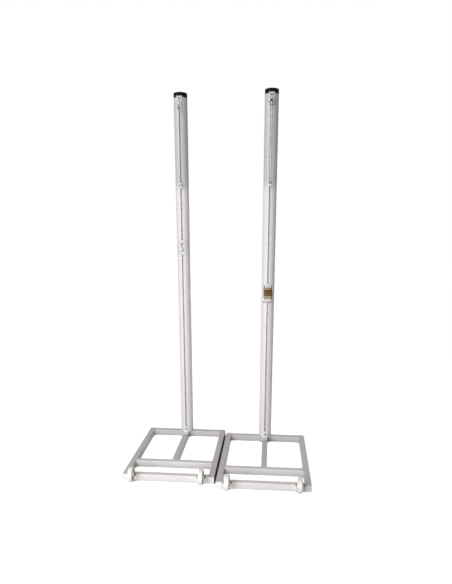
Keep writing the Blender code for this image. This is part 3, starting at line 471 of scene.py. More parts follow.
# %% Where each post stands
POST_RADIUS = 0.0475
AXIS = {}
for side in SIDES:
    low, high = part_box(f"{side}_cap")
    AXIS[side] = Vector(((low.x + high.x) / 2, high.y - POST_RADIUS, 0))
print("posts at x =", [round(place.x, 4) for place in AXIS.values()])

# %% [markdown]
# ## Soft edges on the plates and blocks
# A real plate never has a perfectly sharp edge: sawing, bending and powder coating round it by
# about half a millimetre, and that thin rounding is what catches the light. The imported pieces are
# loose triangles, so a copy is joined up first. Then flat faces are merged and the edges bevelled.


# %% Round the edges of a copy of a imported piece
FLAT = math.radians(1.0)
SHARP = math.radians(32)
MERGE = 2e-6


def bevel(shape, edges, width):
    bmesh.ops.bevel(
        shape, geom=edges, offset=width, segments=2, profile=0.6, affect="EDGES", clamp_overlap=True
    )


def softened(name, width=0.0006):
    shape = bmesh.new()
    shape.from_mesh(NODES[name].data)
    bmesh.ops.remove_doubles(shape, verts=shape.verts, dist=MERGE)
    bmesh.ops.dissolve_limit(shape, angle_limit=FLAT, verts=shape.verts, edges=shape.edges)
    solid = [edge for edge in shape.edges if edge.is_manifold]
    bevel(shape, [edge for edge in solid if edge.calc_face_angle(0.0) > SHARP], width)
    return smooth(new_object(name + "_finished", shape), 40)


PLATES = {  # name: finish
    "foot_bracket": "post_paint",
    "foot_bolt": "grey_steel",
    "top_plate": "dull_zinc",
    "inner_fork": "zinc",
    "outer_fork": "zinc",
}
softer = {f"{side}_{plate}": finish for side in SIDES for plate, finish in PLATES.items()}
softer |= {
    "left_link_lug": "dull_zinc",
    "left_upper_slide": "slide_paint",
    "left_saddle": "slide_paint",
    "right_pulley_bracket": "post_paint",
    "right_upper_slide": "slide_paint",
    "right_lever_pin": "zinc",
    "right_sheave_pin": "dark_steel",
    "right_clamp_bar": "band_grey",
    "right_tension_lever": "lever_brown",
}
made = {name: dress(softened(name), name, finish=finish) for name, finish in softer.items()}
EYE_FROM_Z = 1.9425  # the right slide's block ends here and its wire eye starts
repaint(made["right_upper_slide"], "grey_steel", lambda face: face.center.z > EYE_FROM_Z)
WHITE_FROM_Z = 1.2265  # the lever is brown beside its plate and white round its pin
repaint(made["right_tension_lever"], "post_paint", lambda face: face.center.z > WHITE_FROM_Z)
print("softened plates and fittings:", len(made))

# %% [markdown]
# The lever's carriage is one welded piece, but its lower block, the jaw that grips the post, is
# cream instead of white. Its faces are picked out by their place and given a second finish.

# %% The carriage and its cream jaw
JAW_FRONT_Y = AXIS["right"].y - 0.0545  # the saddle lies behind this
JAW_HALF = 0.026
JAW_Z = (1.131, 1.1485)


def on_jaw(face):
    place = face.center
    beside = abs(place.x - AXIS["right"].x)
    return place.y < JAW_FRONT_Y and JAW_Z[0] < place.z < JAW_Z[1] and beside < JAW_HALF


carriage = dress(softened("right_carriage"), "right_carriage")
print("cream faces on the jaw:", repaint(carriage, "cream", on_jaw))

# %% [markdown]
# ## Base frames
# The frames are welded from rectangular tube. Such a tube is one outline drawn along a line, so
# a small Geometry Nodes tree makes it: a rectangle, its corners rounded with Fillet Curve, swept
# along a straight line by Curve to Mesh. Every rail and bar is the same tree with another length.


# %% Nodes that the Geometry Nodes trees share
def upright(tree, height):
    return node(tree, "ShaderNodeCombineXYZ", {"Z": height}).outputs[0]


def sweep(tree, path, outline, **more):
    inputs = {"Curve": path, "Profile Curve": outline, "Fill Caps": True, **more}
    return node(tree, "GeometryNodeCurveToMesh", inputs).outputs[0]


def random_value(tree, low, high, seed):
    inputs = {2: low, 3: high, "Seed": seed}
    return node(tree, "FunctionNodeRandomValue", inputs, data_type="FLOAT").outputs[1]


def end_tree(tree, out, shape, material):
    """Makes copies real and sets the material, because the export needs both."""
    real = node(tree, "GeometryNodeRealizeInstances", {0: shape}).outputs[0]
    painted = node(tree, "GeometryNodeSetMaterial", {0: real, "Material": material})
    tree.links.new(painted.outputs[0], out.inputs[0])
    return tree


# %% The tube tree
def build_tube_tree():
    inputs = {"Geometry": GEOMETRY, "Width": 0.04, "Height": 0.046, "Length": 0.5}
    inputs |= {"Corner": 0.004, "Corner Steps": 5, "Paint": MATERIAL}
    tree, given, out = new_tree("rectangular_tube", "Geometry", inputs, ["Geometry"])
    inputs = {"Width": given["Width"], "Height": given["Height"]}
    outline = node(tree, "GeometryNodeCurvePrimitiveQuadrilateral", inputs).outputs[0]
    inputs = {"Curve": outline, "Count": given["Corner Steps"], "Radius": given["Corner"]}
    rounded = node(tree, "GeometryNodeFilletCurve", inputs, mode="POLY").outputs[0]
    half = times(tree, given["Length"], 0.5)
    inputs = {"Start": upright(tree, times(tree, half, -1.0)), "End": upright(tree, half)}
    line = node(tree, "GeometryNodeCurvePrimitiveLine", inputs).outputs[0]
    return end_tree(tree, out, sweep(tree, line, rounded), given["Paint"])


TUBE_TREE = build_tube_tree()


# %% Run a tree and keep the result as a plain mesh
def grown(name, tree, source=None, **values):
    """The mesh that a Geometry Nodes tree makes with these inputs, as a new object."""
    host = source or add_object(name + "_host", bpy.data.meshes.new(name + "_host"))
    modifier = host.modifiers.new(name, "NODES")
    modifier.node_group = tree
    for item in tree.interface.items_tree:
        if item.in_out == "INPUT" and item.name in values:
            modifier[item.identifier] = values[item.name]
    graph = bpy.context.evaluated_depsgraph_get()
    mesh = bpy.data.meshes.new_from_object(host.evaluated_get(graph))
    bpy.data.objects.remove(host)
    return add_object(name, mesh)


# %% Every rail and bar of both frames
TUBE_CORNER = 0.004
GAP_FACE_X = 0.008  # the two rails between the stands have their facing sides this far out
ALONG = {  # how a tube that is made upright is laid along X or Y
    0: Matrix.Rotation(math.pi / 2, 4, "Z") @ Matrix.Rotation(math.pi / 2, 4, "X"),
    1: Matrix.Rotation(math.pi / 2, 4, "X"),
}
TUBES = ["inner_rail", "outer_rail", "back_bar", "middle_bar", "front_bar", "centre_rail"]


def faces_gap(face):
    return abs(face.center.x) < GAP_FACE_X and abs(face.normal.x) > 0.9


def frame_tube(name, paint):
    low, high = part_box(name)
    size = high - low
    axis = 0 if size.x > size.y else 1
    sizes = {"Width": size[1 - axis], "Height": size.z, "Length": size[axis]}
    coat = FINISH[paint]
    tube = grown(name + "_finished", TUBE_TREE, Corner=TUBE_CORNER, Paint=coat, **sizes)
    tube.data.transform(Matrix.Translation((low + high) / 2) @ ALONG[axis])
    return dress(smooth(tube), name, finish=paint)


for side in SIDES:
    for kind in TUBES:
        # the middle and front bars take the lighter paint, which is painted light
        painted_lighter = kind in ("middle_bar", "front_bar")
        tube = frame_tube(f"{side}_{kind}", "bar_paint" if painted_lighter else "frame_paint")
        # the sides that face the gap take a dark coat, which is painted shade
        if kind == "inner_rail":
            repaint(tube, "gap_shade", faces_gap)
print("frame tubes:", 2 * len(TUBES))

# %% [markdown]
# ## Weld beads
# Where two tubes meet, a welder lays down a bead: a rounded ridge with regular ripples, one for
# each small pool of melted steel. A bead follows a path, so a tree sweeps a small circle along
# the seam and changes its size with a sine of the distance travelled, plus a little chance.


# %% The bead tree
def build_bead_tree():
    inputs = {"Seam": GEOMETRY, "Size": 0.0022, "Ripple": 0.0032, "Depth": 0.16}
    inputs |= {"Seed": 3, "Paint": MATERIAL}
    tree, given, out = new_tree("weld_bead", "Geometry", inputs, ["Geometry"])
    inputs = {"Curve": given["Seam"], "Length": times(tree, given["Ripple"], 0.25)}
    fine = node(tree, "GeometryNodeResampleCurve", inputs, mode="LENGTH").outputs[0]
    travelled = node(tree, "GeometryNodeSplineParameter").outputs["Length"]
    turns = maths(tree, "DIVIDE", travelled, given["Ripple"])
    wave = maths(tree, "SINE", times(tree, turns, math.tau))
    uneven = maths(tree, "ADD", wave, random_value(tree, -0.6, 0.6, given["Seed"]))
    scale = maths(tree, "ADD", times(tree, uneven, given["Depth"]), 1.0)
    inputs = {"Resolution": 8, "Radius": given["Size"]}
    circle = node(tree, "GeometryNodeCurvePrimitiveCircle", inputs).outputs[0]
    return end_tree(tree, out, sweep(tree, fine, circle, Scale=scale), given["Paint"])


BEAD_TREE = build_bead_tree()


# %% Paths for seams, rods and cables
def path_object(name, routes, closed):
    """A curve object with one open or closed line of points for each route."""
    curve = bpy.data.curves.new(name, "CURVE")
    curve.dimensions = "3D"
    for route in routes:
        spline = curve.splines.new("POLY")
        spline.points.add(len(route) - 1)
        for point, place in zip(spline.points, route):
            point.co = (*place, 1)
        spline.use_cyclic_u = closed
    return add_object(name, curve)


def lay_beads(name, routes, closed):
    seams = path_object(name + "_seams", routes, closed)
    beads = grown(name + "_welds", BEAD_TREE, seams, Paint=FINISH["frame_paint"])
    add_detail(smooth(beads, 60), "frame_paint", "stands")


QUARTERS = ((1, 1), (-1, 1), (-1, -1), (1, -1))  # the corners of a section, anticlockwise


def tube_seam(x, y, low, high, across, corner):
    """A closed loop round a tube's section; across is 0 for a tube along X, 1 for one along Y."""
    width, height = (high[1 - across] - low[1 - across]) / 2, (high.z - low.z) / 2
    middle = (low + high) / 2
    points = []
    for quarter, (right, up) in enumerate(QUARTERS):
        for part in range(4):
            angle = (quarter + part / 3) * math.pi / 2
            side = right * (width - corner) + corner * math.cos(angle)
            rise = up * (height - corner) + corner * math.sin(angle)
            place = (x, middle.y + side) if across == 0 else (middle.x + side, y)
            points.append((*place, middle.z + rise))
    return points


# %% Lay a bead round every joint of the frames
SINK = 0.0006  # how far a bead's middle is sunk below the tube's surface
GROUND_FLUSH = 0.003  # under the frame the beads are ground away, so that it lies on the floor


def frame_seams(side):
    loops = []
    for bar in ("back_bar", "middle_bar", "front_bar"):
        low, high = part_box(f"{side}_{bar}")
        low += Vector((0, SINK, GROUND_FLUSH))
        high -= Vector((0, SINK, SINK))
        for x in (low.x + SINK, high.x - SINK):
            loops.append(tube_seam(x, 0, low, high, 0, TUBE_CORNER))
    low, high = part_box(f"{side}_centre_rail")
    low += Vector((SINK, 0, GROUND_FLUSH))
    high -= Vector((SINK, 0, SINK))
    loops.append(tube_seam(0, low.y + SINK, low, high, 1, TUBE_CORNER))
    return loops


for side in SIDES:
    lay_beads(side + "_frame", frame_seams(side), closed=True)
print("frame welds laid")

# %% [markdown]
# ## Turned and bent pieces
# Posts, caps, wheels and pulleys are round, and hooks and links are bent from rod. The packed
# model uses few facets for them. Here they are made again, finely enough to look round close up,
# with the same sizes.


# %% Helpers for turned shapes
def arc(centre, radius, start, end, steps):
    angles = [start + (end - start) * step / steps for step in range(steps + 1)]
    x, y = centre[0], centre[1]
    return [(x + radius * math.cos(angle), y + radius * math.sin(angle)) for angle in angles]


def mirrored(profile):
    """A profile's upper half of (radius, height) points, followed by the lower half."""
    return profile + [(radius, -height) for radius, height in reversed(profile)]


def turned(name, profile, steps, place, along_x=False, ring=False):
    """A profile of (radius, height) points turned about its axis."""
    shape = bmesh.new()
    points = [shape.verts.new((radius, 0, height)) for radius, height in profile]
    edges = [shape.edges.new(pair) for pair in zip(points, points[1:])]
    if ring:
        edges.append(shape.edges.new((points[-1], points[0])))
    bmesh.ops.spin(
        shape,
        geom=points + edges,
        axis=(0, 0, 1),
        cent=(0, 0, 0),
        angle=math.tau,
        steps=steps,
        use_merge=True,
    )
    bmesh.ops.remove_doubles(shape, verts=shape.verts, dist=1e-6)
    turn = Matrix.Rotation(math.pi / 2, 4, "Y") if along_x else Matrix.Identity(4)
    bmesh.ops.transform(shape, matrix=Matrix.Translation(place) @ turn, verts=shape.verts)
    return smooth(new_object(name, shape), 35)


# %% Helpers for bent rod
def bent_rod(name, route, diameter, closed=False):
    """A round rod along a route of points, as a mesh."""
    path = path_object(name + "_path", [route], closed)
    path.data.bevel_depth = diameter / 2
    path.data.bevel_resolution = 4
    path.data.use_fill_caps = not closed
    graph = bpy.context.evaluated_depsgraph_get()
    mesh = bpy.data.meshes.new_from_object(path.evaluated_get(graph))
    bpy.data.objects.remove(path)
    shape = bmesh.new()
    shape.from_mesh(mesh)
    bmesh.ops.remove_doubles(shape, verts=shape.verts, dist=1e-6)
    return smooth(new_object(name, shape), 50)


def rounded_route(points, radius, steps=6):
    """The corners of a route, each replaced by an arc that touches both sides."""
    route = [points[0]]
    for before, corner, after in zip(points, points[1:], points[2:]):
        one = (Vector(before) - Vector(corner)).normalized()
        two = (Vector(after) - Vector(corner)).normalized()
        half = one.angle(two) / 2
        centre = Vector(corner) + (one + two).normalized() * radius / math.sin(half)
        touch = radius / math.tan(half)
        start = (Vector(corner) + one * touch - centre).normalized()
        end = (Vector(corner) + two * touch - centre).normalized()
        for step in range(steps + 1):
            route.append(tuple(centre + start.slerp(end, step / steps) * radius))
    return route + [points[-1]]


# %% [markdown]
# ## Posts
# A post is an extruded profile: a round outline with a slot in front that opens into a wider
# channel, the same from end to end. So one closed outline is drawn and pulled straight up. The
# faces inside the channel get a darker, duller coat: painted shade in the recess.

# %% The posts: one outline with its slot, drawn straight up
SLOT_WIDTH = 0.012
SLOT_LIP = 0.005
LIP_ROUND = 0.0008
CHANNEL_WIDTH = 0.032
CHANNEL_DEPTH = 0.018


def post_outline():
    mouth, half = SLOT_WIDTH / 2, CHANNEL_WIDTH / 2
    lip_back = -POST_RADIUS + SLOT_LIP
    back = lip_back + CHANNEL_DEPTH
    edge = math.asin((mouth + LIP_ROUND) / POST_RADIUS)
    outline = arc((0, 0), POST_RADIUS, edge - math.pi / 2, 1.5 * math.pi - edge, 160)
    front = outline[0][1] + LIP_ROUND
    left_lip = arc((-mouth - LIP_ROUND, front), LIP_ROUND, -math.pi / 2, 0, 4)[1:]
    right_lip = arc((mouth + LIP_ROUND, front), LIP_ROUND, math.pi, 1.5 * math.pi, 4)[:-1]
    channel = [(-mouth, lip_back), (-half, lip_back), (-half, back)]
    channel += [(half, back), (half, lip_back), (mouth, lip_back)]
    return outline + left_lip + channel + right_lip


def drawn_up(name, outline, low, high, place):
    shape = bmesh.new()
    bottom = shape.faces.new(
        [shape.verts.new((place.x + x, place.y + y, low)) for x, y in outline]
    )
    risen = bmesh.ops.extrude_face_region(shape, geom=[bottom])["geom"]
    corners = [item for item in risen if isinstance(item, bmesh.types.BMVert)]
    bmesh.ops.translate(shape, vec=(0, 0, high - low), verts=corners)
    return new_object(name, shape)


for side, place in AXIS.items():
    low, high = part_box(f"{side}_post")
    post = drawn_up(f"{side}_post_finished", post_outline(), low.z, high.z, place)
    dress(smooth(post), f"{side}_post", finish="post_coat")

    # painted shade: the faces inside the channel take the darker coat
    def in_channel(face):
        reach = (face.center - place).to_2d().length
        return reach < POST_RADIUS - LIP_ROUND and abs(face.normal.z) < 0.5

    print(side, "post, faces in its channel:", repaint(post, "channel_coat", in_channel))

# %% [markdown]
# ## Caps
# The black cap is a moulding with a rounded rim. A shallow dish in its top and a thin parting
# line round its side are what the mould leaves.

# %% Caps
CAP_EDGE = 0.004
CAP_SEAT = 0.0003  # a hair's gap between the post's end and the cap
DISH_RADIUS = 0.036
DISH_DEPTH = 0.0012
PARTING = 0.0004
PARTING_RISE = 0.006
for side, place in AXIS.items():
    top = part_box(f"{side}_cap")[1].z
    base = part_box(f"{side}_post")[1].z + CAP_SEAT
    seam = base + PARTING_RISE
    profile = [(0, top - DISH_DEPTH), (DISH_RADIUS - DISH_DEPTH, top - DISH_DEPTH)]
    profile += [(DISH_RADIUS, top)]
    profile += arc((POST_RADIUS - CAP_EDGE, top - CAP_EDGE), CAP_EDGE, math.pi / 2, 0, 8)
    profile += [(POST_RADIUS, seam + PARTING), (POST_RADIUS - PARTING, seam)]
    profile += [(POST_RADIUS, seam - PARTING), (POST_RADIUS, base + PARTING)]
    profile += [(POST_RADIUS - PARTING, base), (0, base)]
    dress(turned(f"{side}_cap_finished", profile, 96, place), f"{side}_cap")
print("caps turned")

# %% [markdown]
# ## Wheels
# The wheels are one nylon moulding: a flat tread with rounded edges, a web set back on both
# sides and a hub. The sides of the web carry a fine raised ring.

# %% Wheels
WHEEL_RADIUS = 0.050
WHEEL_HALF = 0.015
WHEEL_EDGE = 0.007
WHEEL_RIM = 0.012
RIM_EDGE = 0.001
WEB_HALF = 0.007
WEB_FILLET = 0.002
HUB_RADIUS = 0.016
HUB_HALF = 0.0175
HUB_EDGE = 0.0012
BORE_RADIUS = 0.0053
RING_RADIUS = 0.027
RING_HEIGHT = 0.0009


def wheel_profile():
    rim = WHEEL_RADIUS - WHEEL_RIM
    inner = (HUB_RADIUS + WEB_FILLET, WEB_HALF + WEB_FILLET)
    outer = (rim - WEB_FILLET, WEB_HALF + WEB_FILLET)
    corner = (WHEEL_RADIUS - WHEEL_EDGE, WHEEL_HALF - WHEEL_EDGE)
    upper = [(BORE_RADIUS, HUB_HALF), (HUB_RADIUS - HUB_EDGE, HUB_HALF)]
    upper += [(HUB_RADIUS - HUB_EDGE / 4, HUB_HALF - HUB_EDGE / 3)]
    upper += [(HUB_RADIUS, HUB_HALF - HUB_EDGE)]
    upper += arc(inner, WEB_FILLET, math.pi, 1.5 * math.pi, 4)
    upper += arc((RING_RADIUS, WEB_HALF), RING_HEIGHT, math.pi, 0, 6)
    upper += arc(outer, WEB_FILLET, -math.pi / 2, 0, 4)
    upper += [(rim, WHEEL_HALF - RIM_EDGE), (rim + 0.3 * RIM_EDGE, WHEEL_HALF - 0.3 * RIM_EDGE)]
    upper += [(rim + RIM_EDGE, WHEEL_HALF)] + arc(corner, WHEEL_EDGE, math.pi / 2, 0, 8)
    return mirrored(upper)


for side in SIDES:
    for which in ("inner", "outer"):
        name = f"{side}_{which}_wheel"
        place = middle_of(name)
        dress(turned(name + "_finished", wheel_profile(), 96, place, True, ring=True), name)
print("wheels turned")

# %% [markdown]
# ## Bolts
# Each wheel turns on a bolt with a washer and a nut. They all look alike, so one tree makes a
# bolt from cylinders and puts a copy on every point that it is given. Nobody lines up hexagons,
# so every copy is turned by a chance angle, always the same one for the same seed.

# %% The bolt tree
BOLT_LAYERS = [  # sides, radius as a share of Across, height and middle as shares of Head
    (32, 0.64, 0.16, 0.08),  # washer
    (6, 1 / math.sqrt(3), 0.70, 0.51),  # hexagon
    (24, 0.47, 0.14, 0.93),  # crown
]


def cylinder(tree, sides, radius, depth, middle):
    inputs = {"Vertices": sides, "Radius": radius, "Depth": depth}
    made = node(tree, "GeometryNodeMeshCylinder", inputs).outputs[0]
    inputs = {0: made, "Translation": upright(tree, middle)}
    return node(tree, "GeometryNodeTransform", inputs).outputs[0]


def build_bolt_tree():
    inputs = {"Places": GEOMETRY, "Across": 0.017, "Head": 0.0065, "Shank": 0.010}
    inputs |= {"Grip": 0.043, "Tail": 0.003, "Seed": 5, "Metal": MATERIAL}
    tree, given, out = new_tree("hex_bolts", "Geometry", inputs, ["Geometry"])
    half_grip = times(tree, given["Grip"], 0.5)
    pieces = []
    for sides, radius, depth, above in BOLT_LAYERS:
        radius = times(tree, given["Across"], radius)
        depth, above = times(tree, given["Head"], depth), times(tree, given["Head"], above)
        for direction in (-1.0, 1.0):
            middle = times(tree, maths(tree, "ADD", half_grip, above), direction)
            pieces.append(cylinder(tree, sides, radius, depth, middle))
    tail = maths(tree, "ADD", given["Tail"], given["Head"])
    length = maths(tree, "ADD", given["Grip"], tail)
    radius = times(tree, given["Shank"], 0.5)
    pieces.append(cylinder(tree, 24, radius, length, times(tree, tail, 0.5)))
    bolt = node(tree, "GeometryNodeJoinGeometry")
    for piece in pieces:
        tree.links.new(piece, bolt.inputs[0])
    turn = upright(tree, random_value(tree, 0.0, math.tau, given["Seed"]))
    inputs = {"Name": "facing"}
    facing = node(tree, "GeometryNodeInputNamedAttribute", inputs, data_type="FLOAT_VECTOR")
    inputs = {"Points": given["Places"], "Instance": bolt.outputs[0]}
    inputs |= {"Rotation": facing.outputs[0]}
    placed = node(tree, "GeometryNodeInstanceOnPoints", inputs).outputs[0]
    inputs = {"Instances": placed, "Rotation": turn, "Local Space": True}
    copies = node(tree, "GeometryNodeRotateInstances", inputs).outputs[0]
    return end_tree(tree, out, copies, given["Metal"])


BOLT_TREE = build_bolt_tree()


# %% Bolts through the wheels
FORK_GRIP = 0.0426
ALONG_X = (0, math.pi / 2, 0)  # turns an upright bolt to lie along X


def bolt_places(name, places, facing):
    mesh = bpy.data.meshes.new(name)
    mesh.from_pydata([tuple(place) for place in places], [], [])
    attribute = mesh.attributes.new("facing", "FLOAT_VECTOR", "POINT")
    for item in attribute.data:
        item.vector = facing
    return add_object(name, mesh)


for side in SIDES:
    names = [f"{side}_{which}_axle_bolt" for which in ("inner", "outer")]
    centres = [middle_of(name.replace("axle_bolt", "wheel")) for name in names]
    points = bolt_places(side + "_bolt_places", centres, ALONG_X)
    steel = FINISH["dark_steel"]
    bolts = grown(side + "_axle_bolts", BOLT_TREE, points, Grip=FORK_GRIP, Metal=steel)
    dress(smooth(bolts), *names, finish="dark_steel")
print("axle bolts placed")

# %% [markdown]
# ## Tube plugs
# The open front ends of the side rails are closed with plastic plugs. The head is a thin plate
# with a soft rounded edge, a little domed in the middle.

# %% Plugs
PLUG_RINGS = [(0.0, 0.003), (0.0, 0.0012), (0.0004, 0.0005), (0.0012, 0.0), (0.006, 0.0)]
PLUG_CORNER = 0.0008  # the least rounding of a ring's corners


def plug(name):
    """A head of rings, each given by its inset and its depth behind the front."""
    low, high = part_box(name)
    middle, half = (low + high) / 2, (high - low) / 2
    shape = bmesh.new()
    loops = []
    for inset, depth in PLUG_RINGS:
        corner = max(TUBE_CORNER - inset, PLUG_CORNER)
        points = []
        for quarter, (right, up) in enumerate(QUARTERS):
            centre = (right * (half.x - inset - corner), up * (half.z - inset - corner))
            start = quarter * math.pi / 2
            points += arc(centre, corner, start, start + math.pi / 2, 4)
        places = [(middle.x + x, low.y + depth, middle.z + z) for x, z in points]
        loops.append([shape.verts.new(place) for place in places])
    for outer, inner in zip(loops, loops[1:]):
        for here, after in zip(range(len(outer)), [*range(1, len(outer)), 0]):
            shape.faces.new((outer[here], outer[after], inner[after], inner[here]))
    shape.faces.new(loops[0])
    shape.faces.new(loops[-1])
    return smooth(new_object(name + "_finished", shape), 40)


for side in SIDES:
    for which in ("inner", "outer"):
        name = f"{side}_{which}_rail_plug"
        dress(plug(name), name)
print("plugs made")

# %% [markdown]
# ## Foot sockets
# A round plate welded to the frame carries the post. From outside only its rim and the weld
# along the back bar show, so the piece is a disc with a small rounding, and a bead beside it.

# %% Foot plates and their welds
PLATE_THICKNESS = 0.004
PLATE_ROUND = 0.0006
FOOT_BEAD_OUT = 0.001  # how far the bead's middle lies outside the post
for side, place in AXIS.items():
    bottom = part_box(f"{side}_foot_socket")[0].z
    top = bottom + PLATE_THICKNESS
    profile = [(0, top), (POST_RADIUS - PLATE_ROUND, top), (POST_RADIUS, top - PLATE_ROUND)]
    profile += [(POST_RADIUS, bottom + PLATE_ROUND), (POST_RADIUS - PLATE_ROUND, bottom)]
    profile += [(0, bottom)]
    dress(turned(f"{side}_foot_plate", profile, 96, place), f"{side}_foot_socket")
    bar_low, bar_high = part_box(f"{side}_back_bar")
    start = math.asin((bar_low.y + SINK - place.y) / POST_RADIUS)
    end = math.asin((bar_high.y - SINK - place.y) / POST_RADIUS)
    bend = arc((place.x, place.y), POST_RADIUS + FOOT_BEAD_OUT, start, end, 24)
    routes = [
        [(place.x + turn * (x - place.x), y, bar_high.z) for x, y in bend] for turn in (1, -1)
    ]
    lay_beads(side + "_foot", routes, closed=False)
print("foot plates turned")

# %% [markdown]
# ## Hooks, links and eyes
# The catches, the S-hook and the link are bent from round rod. The bends get true arcs here,
# because a rod bent over a pin never has a sharp corner.

# %% Catches on the top plates and on the left slide
CATCH_ROD = 0.004
CATCH_BEND = 0.0032
CATCH_HALF = 0.011
CATCH_RISE = 0.0065  # half the height between its middle and its ends
for name, sign in (("left_top_catch", 1), ("right_top_catch", 1), ("left_slide_catch", -1)):
    middle = middle_of(name)
    bends = ((-CATCH_HALF, sign), (0, -sign), (CATCH_HALF, sign))
    corners = [(middle.x + x, middle.y, middle.z + up * CATCH_RISE) for x, up in bends]
    rod = bent_rod(name + "_finished", rounded_route(corners, CATCH_BEND), CATCH_ROD)
    dress(rod, name)
print("catches bent")

# %% The hanging link of the left post
LINK_ROD = 0.007
LINK_HALF = 0.012
LINK_LENGTH = 0.046
LINK_CORNER = 0.005
PIVOT = Vector((AXIS["left"].x, 0.38895, 2.474))  # where the link hangs in its lug
across = LINK_HALF - LINK_CORNER
points = arc((across, -LINK_CORNER), LINK_CORNER, math.pi / 2, 0, 10)
points += arc((0, LINK_HALF - LINK_LENGTH), LINK_HALF, 0, -math.pi, 32)
points += arc((-across, -LINK_CORNER), LINK_CORNER, math.pi, math.pi / 2, 10)
route = [(PIVOT.x + x, PIVOT.y, PIVOT.z + z) for x, z in points]
link = bent_rod("left_net_link_finished", route, LINK_ROD, closed=True)
dress(link, "left_net_link", finish="dull_zinc")

# %% The S-hook on the left saddle
HOOK_BEND = 0.007
HOOK_REACH = 0.022  # from the hook's middle to the middle of each bend
lean = math.acos(HOOK_BEND / HOOK_REACH)
middle = middle_of("left_s_hook")
upper = arc((0, HOOK_REACH), HOOK_BEND, 0, 1.5 * math.pi - lean, 28)
lower = arc((0, -HOOK_REACH), HOOK_BEND, math.pi / 2 - lean, -math.pi, 28)
route = [(middle.x + x, middle.y, middle.z + z) for x, z in upper + lower]
dress(bent_rod("left_s_hook_finished", route, CATCH_ROD), "left_s_hook")

# %% The eye on the lever carriage
EYE_WIRE = 0.005
low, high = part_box("right_carriage_eye")
middle = (low + high) / 2
across, rise = (high.x - low.x - EYE_WIRE) / 2, (high.z - low.z - EYE_WIRE) / 2
oval = arc((0, 0), 1, 0, math.tau, 64)[:-1]
route = [(middle.x + x * across, middle.y, middle.z + z * rise) for x, z in oval]
eye = bent_rod("right_carriage_eye_finished", route, EYE_WIRE, closed=True)
dress(eye, "right_carriage_eye", finish="post_paint")
print("link, hook and eye bent")

# %% [markdown]
# ## Sheave and cable
# The cable comes up from the slide, runs over a grooved wheel and ends in a crimped ferrule. It
# is six strands twisted together. Each strand is the same path, pushed out from the middle and
# turned a little further with every millimetre, and that rule is a short Geometry Nodes tree.

# %% The sheave with its round groove
SHEAVE_PROFILE = [  # radius and half width: bore and hub, side and rim, groove
    (0.0033, 0.0097), (0.0085, 0.0097), (0.00925, 0.0090),
    (0.00925, 0.0085), (0.0180, 0.0085), (0.0185, 0.0080), (0.0185, 0.0054),
    (0.0181, 0.0050), (0.0153, 0.0022), (0.0147, 0.0012),
]
sheave_middle = middle_of("right_sheave")
profile = mirrored(SHEAVE_PROFILE)
sheave = turned("right_sheave_finished", profile, 72, sheave_middle, True, ring=True)
dress(sheave, "right_sheave")


# %% The strand tree
def build_strand_tree():
    inputs = {"Path": GEOMETRY, "Strands": 6, "Strand Size": 0.0016, "Spread": 0.0017}
    inputs |= {"Lay": 0.030, "Step": 0.002, "Metal": MATERIAL}
    tree, given, out = new_tree("twisted_strands", "Geometry", inputs, ["Geometry"])
    inputs = {"Curve": given["Path"], "Length": given["Step"]}
    fine = node(tree, "GeometryNodeResampleCurve", inputs, mode="LENGTH").outputs[0]
    inputs = {"Geometry": fine, "Amount": given["Strands"]}
    copies = node(tree, "GeometryNodeDuplicateElements", inputs, domain="SPLINE")
    travelled = node(tree, "GeometryNodeSplineParameter").outputs["Length"]
    share = maths(tree, "DIVIDE", copies.outputs["Duplicate Index"], given["Strands"])
    turns = maths(tree, "ADD", maths(tree, "DIVIDE", travelled, given["Lay"]), share)
    angle = times(tree, turns, math.tau)
    normal = node(tree, "GeometryNodeInputNormal").outputs[0]
    forward = node(tree, "GeometryNodeInputTangent").outputs[0]
    sideways = vector_maths(tree, "CROSS_PRODUCT", {0: forward, 1: normal})
    near = vector_maths(tree, "SCALE", {0: normal, "Scale": maths(tree, "COSINE", angle)})
    far = vector_maths(tree, "SCALE", {0: sideways, "Scale": maths(tree, "SINE", angle)})
    both = vector_maths(tree, "ADD", {0: near, 1: far})
    offset = vector_maths(tree, "SCALE", {0: both, "Scale": given["Spread"]})
    inputs = {"Geometry": copies.outputs[0], "Offset": offset}
    twisted = node(tree, "GeometryNodeSetPosition", inputs).outputs[0]
    inputs = {"Resolution": 7, "Radius": times(tree, given["Strand Size"], 0.5)}
    circle = node(tree, "GeometryNodeCurvePrimitiveCircle", inputs).outputs[0]
    return end_tree(tree, out, sweep(tree, twisted, circle), given["Metal"])


STRAND_TREE = build_strand_tree()

# %% The cable: straight up the post, over the sheave, down to the ferrule
CABLE_X = AXIS["right"].x
CABLE_Y = AXIS["right"].y - 0.0536  # 6 mm in front of the post
WRAP_RADIUS = 0.0173
CABLE_LOW = 1.9623
CABLE_END = 2.4505
BLACK_SPAN = (2.4580, 2.4730)  # heights between which the cable is black
wrap = arc((sheave_middle.y, sheave_middle.z), WRAP_RADIUS, 0, math.pi, 40)
heights = [(CABLE_Y, CABLE_LOW), *wrap, (sheave_middle.y - WRAP_RADIUS, CABLE_END)]
cable_path = path_object("right_cable_path", [[(CABLE_X, y, z) for y, z in heights]], False)
cable = grown("right_cable_finished", STRAND_TREE, cable_path, Metal=FINISH["zinc"])
smooth(cable, 60)
cable.data.materials.clear()
cable.data.materials.append(FINISH["zinc"])
repaint(cable, "greased_wire", lambda face: BLACK_SPAN[0] < face.center.z < BLACK_SPAN[1])
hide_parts("right_cable")
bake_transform(cable)
print("cable strands:", len(cable.data.polygons), "faces")

